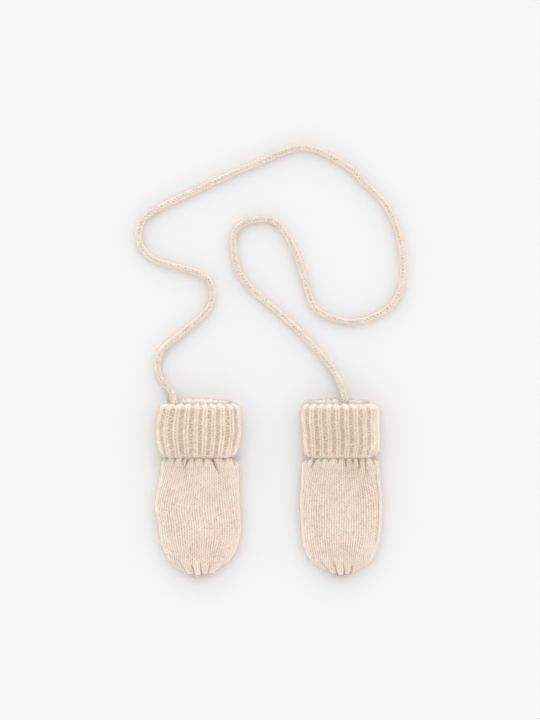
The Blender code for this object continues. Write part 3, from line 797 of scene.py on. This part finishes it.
def hand_surface(side, facing, steps, places, inset):
    """Points of one face of a hand's panel, inset from its outer form. facing is 1 on the front."""
    below, seam, top, bottom, left, right = hand_table(side, steps)
    tip_share = np.clip((steps - TIP_START) / (len(HAND_SECTIONS) - 1 - TIP_START), 0, 1) ** 2
    level = np.maximum(top - seam, 0) if facing > 0 else np.clip(seam - bottom, 0, seam)
    if inset:
        narrowed = level * (1 - inset / level.max())
        lowered = np.maximum(level - inset, LEAST_INSIDE_SHARE * level)
        level = narrowed * tip_share + lowered * (1 - tip_share)
    points = np.empty((len(steps), len(places), 3))
    for k in range(len(steps)):
        half = 0.5 * (right[k] - left[k]) - inset
        crown = HAND_CROWN_SHARE[facing] * level[k]
        height = arch(places, half, level[k] - crown, crown, HAND_CORNER[facing] - inset)
        x = 0.5 * (left[k] + right[k]) + places * half
        y = np.full_like(x, below[k] - inset * tip_share[k])
        points[k] = np.stack([MITTEN_CENTRE_X[side] + x, HEM_Y - y, seam[k] + facing * height], axis=-1)
    return points


def side_seam(side, edge, below):
    """How strongly the side seam shows, from the distance to the panel's right edge."""
    seam = np.exp(-(((edge - SIDE_SEAM[side]) / SIDE_SEAM_WIDTH) ** 2))
    end, end_length = SIDE_SEAM_END
    return seam * ramp(below, *SIDE_SEAM_START) * ramp(end - below, 0, end_length)


def hand_panel(side, facing, name, material):
    """One panel of a hand: knitted cloth with a plain inside, gathered at its wrist and its tip."""
    samples = HAND_SAMPLES[facing]
    half = 0.5 * (WIDEST.left_mitten[1] - WIDEST.left_mitten[0]) * MM
    rise = (WIDEST.top - WIDEST.seam) * MM if facing > 0 else WIDEST.seam * MM
    crown = HAND_CROWN_SHARE[facing] * rise
    count = HAND_WALES * samples.wale + 1
    places = even_places(half, rise - crown, crown, HAND_CORNER[facing], count)
    steps, rows = hand_steps(side, facing, samples.row)
    base = hand_surface(side, facing, steps, places, 0.0)
    normals = grid_normals(base, facing)
    creases = (FRONT_CREASES if facing > 0 else BACK_CREASES)[side]
    seed = KNIT_SEEDS[side, facing]

    across, below = base[..., 0] - MITTEN_CENTRE_X[side], HEM_Y - base[..., 1]
    wale, row = np.meshgrid(np.linspace(0, HAND_WALES, len(places)), rows)
    wander = wave(WALE_WANDER, wale, row, seed + 1)
    sway = wave(ROW_SWAY, wale, row, seed + 2)
    gathered = 1 + WRIST_GATHER * np.exp(-np.maximum(below, 0) / WRIST_REACH)
    gathered = gathered * (1 - TIP_DECREASE * ramp(below, TIP_ROUND, TIP_ROUND_LENGTH) ** 1.5)
    drawn = 0.5 * HAND_WALES + (wale - 0.5 * HAND_WALES) * gathered + wander + SPARE_STITCHES
    relief = knit_relief(drawn, row + sway + 1, KNIT_WALE, KNIT_ROW, seed, KNIT_LEG)
    tension = MEAN_TENSION + wave(TENSION, wale, row, seed + 3)

    width_share = np.linalg.norm(base[:, -1] - base[:, 0], axis=-1) / (2 * half)
    amount = KNIT_RELIEF * np.clip(RELIEF_GAIN * width_share, LEAST_RELIEF, 1)[:, None] * tension
    rim = np.minimum(wale, HAND_WALES - wale) * KNIT_WALE * width_share[:, None]
    last = (rows[-1] - row) * KNIT_ROW
    fade = ramp(rim, 0, SEAM_WIDTH) * ramp(last, 0, SEAM_WIDTH)

    lowered = MIDDLE if facing > 0 else MIDDLE + UNDERSIDE * fade
    rise_here = np.abs(base[..., 2] - hand_table(side, steps)[1][:, None])
    fold = CREASE_SHARE * crease_depth(creases, across, below)
    pressed = np.minimum(fold * (rise_here > CREASE_RIM), CREASE_MOST * rise_here)
    swell = PUFF_HEIGHT * puffs(creases, across, below) * ramp(rise_here, 0, PUFF_RISE) * ramp(below, 0, MM)
    moved = amount * (relief * fade - lowered) - pressed + swell * (facing > 0)
    seam = side_seam(side, base[:, -1:, 0] - base[..., 0], below)
    moved -= SIDE_SEAM_DEPTH[side] * seam * (facing > 0)
    hollow = wave(CLOTH_WAVE, across, below, seed + 4)
    for dimple in DIMPLES[side]:
        hollow = hollow - dimple.amount * MM * spot_strength(dimple, across, below)
    moved += hollow * ramp(rise_here, 0, HOLLOW_RISE) * (facing > 0)
    outer = base + normals * moved[..., None]
    outer[..., 2] = np.maximum(outer[..., 2], FLOOR_CLEARANCE)

    row_steps = coarse_steps(len(steps), samples.inside)
    place_steps = coarse_steps(len(places), samples.inside)
    inner = hand_surface(side, facing, steps[row_steps], places[place_steps], HAND_WALL)
    outer_grid = number_grid(outer)
    inner_grid = outer_grid.size + number_grid(inner)
    faces = grid_faces(outer_grid) + grid_faces(inner_grid[:, ::-1])
    faces += rim_faces(outer_grid[0], inner_grid[0], place_steps)
    faces += rim_faces(outer_grid[-1][::-1], inner_grid[-1][::-1], mirrored_steps(place_steps))
    faces += rim_faces(outer_grid[:, 0][::-1], inner_grid[:, 0][::-1], mirrored_steps(row_steps))
    faces += rim_faces(outer_grid[:, -1], inner_grid[:, -1], row_steps)
    if facing > 0:
        faces = [face[::-1] for face in faces]
    points = np.vstack([outer.reshape(-1, 3), inner.reshape(-1, 3)])
    crest = np.maximum(LOW_CREST + (1 - LOW_CREST) * relief * fade, RIM_CREST * (1 - fade))
    # Painted light and shade in soft places on the hand's front
    if facing > 0:
        crest = with_painted_light_and_shade(crest, HAND_PAINTED_LIGHT_AND_SHADE[side], across, below)
    # Pale fibres and painted light on the hand's sides
    crest = with_fuzz_and_rim_light(crest, np.hypot(normals[..., 0], normals[..., 1]) * (below > 0))
    # Painted shade in the creases
    crest = crest * (1 - CREASE_SHADE * ramp(fold, 0, SHADED_DEPTH))
    # Painted shade in the side seam's groove
    crest = crest * (1 - seam * SIDE_SEAM_DEPTH[side] / MM)
    # The plain inside gets a middling painted shade
    crest = np.concatenate([crest.ravel(), np.full(inner_grid.size, HAND_INSIDE_CREST)])
    inside = np.stack(np.meshgrid(wale[0][place_steps], rows[row_steps]), axis=-1)
    stitches = np.vstack([np.stack([wale, row], axis=-1).reshape(-1, 2), inside.reshape(-1, 2)])
    panel = add_piece(f"{name}_knit", points, faces, material, [name], crest, stitches)
    nap = make_nap(f"{name}_nap", outer, normals, HAND_FIBRES[facing], seed + 5, material)


def cuff_table(side, above_hem):
    """Both edges of the cuff at heights above its hem."""
    heights = np.array([section.above_hem for section in CUFF_SECTIONS]) * MM
    edges = np.array([getattr(section, f"{side}_mitten") for section in CUFF_SECTIONS])
    steps = np.interp(above_hem, heights, np.arange(len(heights)))
    left, right = smooth_rows(edges, steps).T * MM
    return np.array([left + CUFF_TRIM[side], right - CUFF_TRIM[side]])


def cuff_path(facing, step):
    """The cuff's folded wall as a ring of points: height above the hem and depth under the ribs'
    crests. It begins inside the hem, runs round it, up the outside, over the fold and down the mouth,
    and comes back between the two layers. Also gives the number of its knitted, visible points."""
    outer_wall = RIB_HEIGHT[facing] + RIB_WALL
    depth = outer_wall + LAYER_GAP + RIB_WALL
    fold_radius = 0.5 * depth
    fold_start = FOLD_HEIGHT[facing] - fold_radius
    turns = np.linspace(0, math.pi, HEM_POINTS)
    hem = [(HEM_ROUND * (1 - math.sin(turn)), 0.5 * outer_wall * (1 + math.cos(turn))) for turn in turns]
    outside = [(height, 0.0) for height in np.arange(HEM_ROUND + step, fold_start, step)]
    turns = np.arange(0, math.pi, step / fold_radius)
    fold = [(fold_start + fold_radius * math.sin(t), fold_radius * (1 - math.cos(t))) for t in turns]
    mouth = [(height, depth) for height in np.arange(fold_start, fold_start - MOUTH_DEPTH, -step)]
    shown = hem + outside + fold + mouth
    lining = np.linspace(mouth[-1][0] - step, CUFF_ROOT_HEIGHT, LINING_POINTS)
    hidden = [(height, depth) for height in lining]
    layer = np.linspace(CUFF_ROOT_HEIGHT, fold_start, LAYER_POINTS)
    hidden += [(height, depth - RIB_WALL) for height in layer]
    gap = 0.5 * LAYER_GAP
    for turn in np.linspace(0, math.pi, 4)[1:-1]:
        hidden.append((fold_start + gap * math.sin(turn), outer_wall + gap * (1 + math.cos(turn))))
    hidden += [(height, outer_wall) for height in np.linspace(fold_start, HEM_ROUND, LAYER_POINTS)[:-1]]
    return np.array(shown + hidden), len(shown)


def rib_layout(side, facing, places, half, reach):
    """Where each place across a cuff lies in its ribs: depth of the groove from 0 to 1, the rib's own
    wale number, its width, how far it is from the nearest valley, and the way across that valley."""
    left, right = cuff_table(side, np.array([GROOVE_HEIGHT * MM]))[:, 0]
    grooves = FRONT_GROOVES[side] if facing > 0 else BACK_GROOVES
    middle = 0.5 * (left + right)
    centres = [np.interp((groove.across * MM - middle) / half, places, reach) for groove in grooves]
    widths = [groove.width * MM for groove in grooves]
    if centres[0] > SIDE_RIB:
        centres, widths = [centres[0] - SIDE_RIB, *centres], [SIDE_GROOVE, *widths]
    if reach[-1] - centres[-1] > SIDE_RIB:
        centres, widths = [*centres, centres[-1] + SIDE_RIB], [*widths, SIDE_GROOVE]
    centres, widths = np.array(centres), np.array(widths)
    distance = np.abs(reach[:, None] - centres)
    nearest = distance.argmin(axis=1)
    flanks = GROOVE_FLATNESS * (1 - (distance / (GROOVE_REACH * widths)) ** 2)
    groove = np.clip(flanks, 0, 1).max(axis=1)
    across = (reach - centres[nearest]) / (VALLEY_SHARE * widths[nearest])
    inside = (distance - VALLEY_SHARE * widths).min(axis=1)
    starts = np.concatenate([[-0.5 * SIDE_RIB], centres + VALLEY_SHARE * widths])
    ends = np.concatenate([centres - VALLEY_SHARE * widths, [reach[-1] + 0.5 * SIDE_RIB]])
    rib = np.searchsorted(centres, reach)
    width = ends[rib] - starts[rib]
    wale = 2 * rib + np.clip((reach - starts[rib]) / width, -RIB_OVERRUN, 1 + RIB_OVERRUN)
    return groove, wale + 1.0, width, inside, np.clip(across, -1, 1)


def cuff_side(side, facing, name, material):
    """Half of a folded cuff in 1x1 rib, its front or its back."""
    step = CUFF_STEP[facing]
    path, shown = cuff_path(facing, step)
    above, depth = path.T
    edge_z = CUFF_SEAM_Z
    full_rise = CUFF_TOP_Z - edge_z if facing > 0 else edge_z
    crown, corner = CUFF_CROWN[facing], CUFF_CORNER[facing]
    left, right = cuff_table(side, above)
    middle = cuff_table(side, np.array([GROOVE_HEIGHT * MM]))[:, 0]
    half = 0.5 * (middle[1] - middle[0])
    places = even_places(half, full_rise - crown, crown, corner, int(2 * (half + SIDE_DROP) / step))
    height = arch(places, half, full_rise - crown, crown, corner)
    reach = running(np.hypot(half * np.diff(places), np.diff(height)))

    base = np.empty((len(path), len(places), 3))
    for k in range(len(path)):
        own_half = 0.5 * (right[k] - left[k]) - depth[k]
        height = arch(places, own_half, full_rise - crown - depth[k], crown, corner - depth[k])
        x = MITTEN_CENTRE_X[side] + 0.5 * (left[k] + right[k]) + places * own_half
        share = np.clip(above[k] / FOLD_HEIGHT[facing], 0, 1)
        lift = HEM_LIFT * ramp(np.abs(places), *HEM_LIFT_START) ** 2 * (1 - share) ** 3
        rise = FOLD_RISE * (1 - places**2) * share**4
        y = HEM_Y + above[k] + (lift if facing > 0 else BACK_LIFT_SHARE * lift + rise)
        base[k] = np.stack([x, y, edge_z + facing * height], axis=-1)
    looped = np.concatenate([base[-1:], base, base[:1]])
    normals = grid_normals(looped, -facing)[1:-1]

    run = running(np.linalg.norm(np.diff(path, axis=0), axis=1))
    groove, wale, width, inside, across = rib_layout(side, facing, places, half, reach)
    row = ((run - run[HEM_POINTS - 1]) / RIB_ROW)[:, None] + SPARE_STITCHES
    wale_grid, row, width_grid, across_grid = np.broadcast_arrays(wale, row, width, across)
    seed = RIB_SEEDS[side, facing]
    row = row + wave(RIB_SWAY, wale_grid, row, seed + 1)
    legs = knit_relief(wale_grid, row, width_grid, RIB_ROW, seed, RIB_LEG)
    bars = purl_relief(across_grid, row + 0.5 * np.floor(wale / 2), seed + 2)
    on_rib = np.clip(inside / VALLEY_SOFTNESS + 0.5, 0, 1)
    on_rib = on_rib * on_rib * (3 - 2 * on_rib)

    round_fold = np.clip(depth / depth.max(), 0, 1)
    share = np.clip(1 - FOLD_GROOVE_LOSS * round_fold, 0, 1)
    near_hem = np.exp(-((np.maximum(above, 0) / HEM_BAND) ** 4)) * (depth < depth.max() * HEM_BAND_DEPTH)
    groove_share = (share * (1 - HEM_GROOVE_LOSS * near_hem))[:, None]
    near_hem = near_hem[:, None]
    stitch = legs * on_rib + (PURL_RELIEF / RIB_RELIEF) * bars * (1 - on_rib)
    cast_on = 0.5 + 0.5 * np.cos(2 * math.pi * reach / CAST_ON_PITCH)
    flatness = HEM_STITCH_LOSS * near_hem
    stitch = stitch * (1 - flatness) + flatness * (CAST_ON_HEIGHT + CAST_ON_WAVE * cast_on)
    seam = ramp(np.minimum(reach, reach[-1] - reach), 0, SEAM_WIDTH)
    lowered = MIDDLE if facing > 0 else MIDDLE + UNDERSIDE
    moved = -RIB_HEIGHT[facing] * groove * groove_share + RIB_RELIEF * (stitch * seam - lowered)
    in_mouth = round_fold[:, None] > MOUTH_START
    moved = np.where(in_mouth, MOUTH_SHARE * (moved - MOUTH_DROP * RIB_RELIEF), moved)
    dip = HEM_DIP * np.exp(-((above / HEM_DIP_REACH) ** 2)) * (1 - np.clip(depth / RIB_WALL, 0, 1))
    moved -= dip[:, None]
    visible = (np.arange(len(path)) < shown)[:, None]
    points = base + normals * (moved * visible)[..., None]
    points[..., 2] = np.clip(points[..., 2], FLOOR_CLEARANCE, None)

    grid = number_grid(points)
    faces = grid_faces(np.vstack([grid, grid[:1]]))
    faces.append(grid[::-1, 0].tolist())
    faces.append(grid[:, -1].tolist())
    if facing < 0:
        faces = [face[::-1] for face in faces]
    # Painted shade: purl bars in the valleys keep less light than the legs
    looks = legs * on_rib + PURL_LIGHT_SHARE * bars * (1 - on_rib)
    # Painted shade in the rib grooves
    shaded = (LOW_CREST + (1 - LOW_CREST) * looks) * (1 - GROOVE_SHADE * groove * groove_share)
    # The cast-on edge gets a middling painted shade
    crest = shaded * (1 - HEM_STITCH_LOSS * near_hem) + HEM_CREST * near_hem
    # Painted light over the cuff's fold and a little way below it
    fold_light = np.clip((above - FOLD_HEIGHT[facing] + 0.5 * depth.max()) / FOLD_PAINTED_LIGHT_REACH + 0.5, 0, 1)
    crest = crest + FOLD_PAINTED_LIGHT * fold_light[:, None]
    # Painted light and shade in soft places on the cuff's front
    if facing > 0:
        crest = with_painted_light_and_shade(crest, CUFF_PAINTED_LIGHT_AND_SHADE[side], places * half, above[:, None])
    # Pale fibres and painted light on the cuff's sides
    crest = with_fuzz_and_rim_light(np.maximum(crest, RIM_CREST * (1 - seam)), normals[..., 0])
    # The hidden layers get a middling painted shade
    crest = np.where(visible, np.maximum(crest, 0), CUFF_INSIDE_CREST)
    stitches = np.stack([wale_grid, row], axis=-1)
    ribbing = add_piece(f"{name}_rib", points, faces, material, [name], crest, stitches)
    outside = slice(0, shown - int(MOUTH_DEPTH / step))
    nap = make_nap(
        f"{name}_nap", points[outside], normals[outside], CUFF_FIBRES[facing], seed + 5, material
    )


def string_line():
    """Evenly spaced points along the string's smooth curve, tucked a little into both mouths."""
    route = np.array(STRING_ROUTE) * MM
    fine = smooth_rows(route, np.linspace(0, len(route) - 1, ROUTE_STEPS * len(route)))
    window = np.ones(STRING_SOFTENING) / STRING_SOFTENING
    middle = np.stack([np.convolve(fine[:, axis], window, mode="valid") for axis in range(3)], axis=-1)
    trim = STRING_SOFTENING // 2
    fine = np.vstack([fine[:trim:ROUTE_END_STEP], middle, fine[-trim::ROUTE_END_STEP]])
    fine[:, 2] = np.maximum(fine[:, 2], STRING_CENTRE_Z)
    start, end = fine[0] - fine[ROUTE_END_RUN], fine[-1] - fine[-1 - ROUTE_END_RUN]
    start, end = (tuck / np.linalg.norm(tuck) * (1, 1, 0) for tuck in (start, end))
    fine = np.vstack([fine[0] + STRING_TUCK * start, fine, fine[-1] + STRING_TUCK * end])
    reach = running(np.linalg.norm(np.diff(fine, axis=0), axis=1))
    count = int(reach[-1] / STRING_ROW * STRING_SAMPLES)
    even = np.linspace(0, reach[-1], count)
    return np.stack([np.interp(even, reach, fine[:, axis]) for axis in range(3)], axis=-1), even


def make_string(material):
    """The round knitted string: plain knit all round it, twisting slowly and pressed flatter in places."""
    line, reach = string_line()
    tangent = unit(np.gradient(line, axis=0))
    side = unit(np.cross((0, 0, 1), tangent))
    up = np.cross(tangent, side)
    turn = np.linspace(0, 2 * math.pi, STRING_SIDES, endpoint=False)
    along, around = np.meshgrid(reach, turn, indexing="ij")
    level = np.zeros_like(along)
    twist = wave(STRING_TWIST, along, level, STRING_SEED)
    wale = np.mod((around + twist) / (2 * math.pi) * STRING_WALES, STRING_WALES)
    row = along / STRING_ROW + wave(STRING_SWAY, along, around, STRING_SEED + 1)
    width = math.pi * STRING_DIAMETER / STRING_WALES
    relief = knit_relief(wale + 1, row + 1, width, STRING_ROW, STRING_SEED + 2, STRING_LEG)
    flatter = wave(STRING_FLATNESS, along, level, STRING_SEED + 3)
    radius = 0.5 * STRING_DIAMETER + STRING_RELIEF * (relief - STRING_INSET)
    ends = np.clip(np.minimum(along, reach[-1] - along) / STRING_TAPER, STRING_END_SHARE, 1)
    points = line[:, None] + side[:, None] * (radius * (1 + flatter) * ends * np.cos(around))[..., None]
    points = points + up[:, None] * (radius * (1 - flatter) * ends * np.sin(around))[..., None]
    points[..., 2] = np.maximum(points[..., 2], FLOOR_CLEARANCE)
    grid = number_grid(points)
    faces = grid_faces(np.hstack([grid, grid[:, :1]]))
    faces += [grid[0].tolist(), grid[-1][::-1].tolist()]
    stitches = np.stack([wale, row], axis=-1)
    # Pale fibres and painted light on the string's sides
    crest = with_fuzz_and_rim_light(relief, STRING_FUZZ_AND_RIM_LIGHT * np.cos(around))
    string = add_piece("string_knit", points, faces, material, ["string"], crest, stitches)
    out = unit(points - line[:, None])
    nap = make_nap("string_nap", points, out, STRING_FIBRES, STRING_SEED + 6, material)


def set_values(node, values):
    """Sets the values of a shader node's own inputs."""
    for key, value in values.items():
        node.inputs[key].default_value = value


def new_node(tree, kind, inputs, **settings):
    """A shader node with its settings, and its inputs linked to other nodes or set to values."""
    made = tree.nodes.new(kind)
    for key, value in settings.items():
        setattr(made, key, value)
    for key, value in inputs.items():
        if isinstance(value, bpy.types.NodeSocket):
            tree.links.new(value, made.inputs[key])
        else:
            made.inputs[key].default_value = value
    return made


def noise(tree, place, scale, detail):
    """A noise with this many bumps to a unit of place."""
    inputs = {"Vector": place, "Scale": scale, "Detail": detail}
    return new_node(tree, "ShaderNodeTexNoise", inputs).outputs["Fac"]


def mix_colours(tree, share, low, high):
    """A mix of two colours. Each is a socket or a colour, and share is a socket."""
    made = new_node(tree, "ShaderNodeMix", {}, data_type="RGBA", blend_type="MIX")
    for socket, value in ((made.inputs[0], share), (made.inputs[6], low), (made.inputs[7], high)):
        if isinstance(value, bpy.types.NodeSocket):
            tree.links.new(value, socket)
        else:
            socket.default_value = (*value, 1.0)
    return made.outputs[2]


def tinted(colour, factors):
    """A colour with its parts multiplied."""
    return tuple(part * factor for part, factor in zip(colour, factors))


def spread(tree, socket, low, high, to_low=0.0, to_high=1.0):
    """A socket's values from low to high, mapped onto another range and held inside it."""
    inputs = {"Value": socket, "From Min": low, "From Max": high, "To Min": to_low, "To Max": to_high}
    return new_node(tree, "ShaderNodeMapRange", inputs).outputs["Result"]


def wool(name, colour, depth):
    """Undyed melange wool: cream fibres with darker and lighter ones among them, faint pink and yellow
    patches, painted shade in the gaps between the yarn's legs and in creases, grooves and seams, painted
    light and shade in soft places, on the sides and over the cuff's fold, pale loose fibres, and a soft
    nap."""
    material = bpy.data.materials.new(name)
    material.use_nodes = True
    tree = material.node_tree
    surface = tree.nodes["Principled BSDF"]
    place = tree.nodes.new("ShaderNodeTexCoord").outputs["Object"]
    stitches = new_node(tree, "ShaderNodeUVMap", {}, uv_map="stitches").outputs["UV"]
    crest = new_node(tree, "ShaderNodeAttribute", {}, attribute_name="crest").outputs["Fac"]

    warm = spread(tree, noise(tree, place, 95.0, 2.0), 0.35, 0.65)
    shade = mix_colours(tree, warm, tinted(colour, PINK), tinted(colour, YELLOW))
    cloud = spread(tree, noise(tree, place, 62.0, 1.0), 0.38, 0.62)
    shade = mix_colours(tree, cloud, shade, tinted(colour, CLOUD))

    stretched = {"Vector": stitches, "Scale": (0.32, 1.0, 1.0)}
    yarn = new_node(tree, "ShaderNodeMapping", stretched, vector_type="POINT").outputs["Vector"]
    streak = spread(tree, noise(tree, yarn, 1.3, 3.0), 0.3, 0.7, 0.0, 0.5)
    shade = mix_colours(tree, streak, shade, tinted(colour, STREAK))

    fibres = noise(tree, place, 1500.0, 4.0)
    dark = spread(tree, fibres, 0.56, 0.78, 0.0, 0.42)
    shade = mix_colours(tree, dark, shade, tinted(colour, DARK_FIBRE))
    light = spread(tree, fibres, 0.44, 0.24, 0.0, 0.5)
    shade = mix_colours(tree, light, shade, tuple(1 - LIGHT_FIBRE * (1 - part) for part in colour))

    # Painted shade in the gaps: the lower a point stands in its stitch, the darker its colour
    hollow = spread(tree, crest, GAP_CREST, LEG_CREST, depth, 0.0)
    shade = mix_colours(tree, hollow, shade, tinted(colour, GAP_SHADE))
    # Pale fibres, and painted light on the sides and over the cuff's fold
    fuzz_and_rim_light = spread(tree, crest, 1.0, NAP_AND_RIM_LIGHT_CREST)
    shade = mix_colours(tree, fuzz_and_rim_light, shade, FUZZ_AND_RIM_LIGHT_COLOUR)
    tree.links.new(shade, surface.inputs["Base Color"])

    nap = {"Strength": 0.35, "Distance": 0.3 * MM, "Height": noise(tree, place, 3200.0, 3.0)}
    bump = new_node(tree, "ShaderNodeBump", nap)
    tree.links.new(bump.outputs["Normal"], surface.inputs["Normal"])
    set_values(surface, WOOL_SURFACE)
    return material


def make_camera():
    """The camera looks straight down, and its view is as high as the photograph's frame."""
    camera = bpy.data.cameras.new("camera")
    camera.lens = LENS
    camera.sensor_fit = "VERTICAL"
    camera.sensor_height = SENSOR_HEIGHT
    camera.clip_start, camera.clip_end = VIEW_RANGE
    eye = bpy.data.objects.new("camera", camera)
    distance = LENS / SENSOR_HEIGHT * IMAGE_HEIGHT * METRES_PER_PIXEL
    eye.location = (*VIEW_CENTRE, distance + VIEW_FOCUS_Z)
    bpy.context.scene.collection.objects.link(eye)
    bpy.context.scene.camera = eye


def make_floor():
    """A pale, matt floor."""
    material = bpy.data.materials.new("floor_paper")
    material.use_nodes = True
    set_values(material.node_tree.nodes["Principled BSDF"], FLOOR_SURFACE)
    mesh = bpy.data.meshes.new("floor")
    size = FLOOR_SIZE
    corners = [(-size, -size, 0), (size, -size, 0), (size, size, 0), (-size, size, 0)]
    mesh.from_pydata(corners, [], [(0, 1, 2, 3)])
    mesh.materials.append(material)
    floor = bpy.data.objects.new("floor", mesh)
    bpy.context.scene.collection.objects.link(floor)


def make_light():
    """Soft light from all round, a little stronger from beyond the cuffs."""
    world = bpy.data.worlds.new("studio")
    world.use_nodes = True
    tree = world.node_tree
    background = tree.nodes["Background"]
    background.inputs["Color"].default_value = (1.0, 1.0, 1.0, 1.0)
    sky = tree.nodes.new("ShaderNodeTexCoord").outputs["Generated"]
    height = new_node(tree, "ShaderNodeSeparateXYZ", {"Vector": sky}).outputs["Z"]
    strength = spread(tree, height, 0.0, 1.0, HORIZON_STRENGTH, ZENITH_STRENGTH)
    tree.links.new(strength, background.inputs["Strength"])
    bpy.context.scene.world = world

    lamp = bpy.data.lights.new("window", "SUN")
    lamp.angle = WINDOW_ANGLE
    lamp.energy = WINDOW_POWER
    window = bpy.data.objects.new("window", lamp)
    window.rotation_euler = (-WINDOW_TILT, 0, 0)
    bpy.context.scene.collection.objects.link(window)
    bpy.context.scene.view_settings.view_transform = "Standard"


def main():
    make_camera()
    make_floor()
    make_light()
    wools = {slot: wool(slot, colour, GAP_DEPTH[slot]) for slot, colour in WOOL_COLOURS.items()}
    make_string(wools["string_wool"])
    for side in MITTEN_CENTRE_X:
        for facing, where, slot in ((1, "front", "knit_wool_front"), (-1, "back", "knit_wool_back")):
            hand_panel(side, facing, f"{side}_hand_{where}", wools[slot])
            cuff_side(side, facing, f"{side}_cuff_{where}", wools["ribbed_wool"])


main()
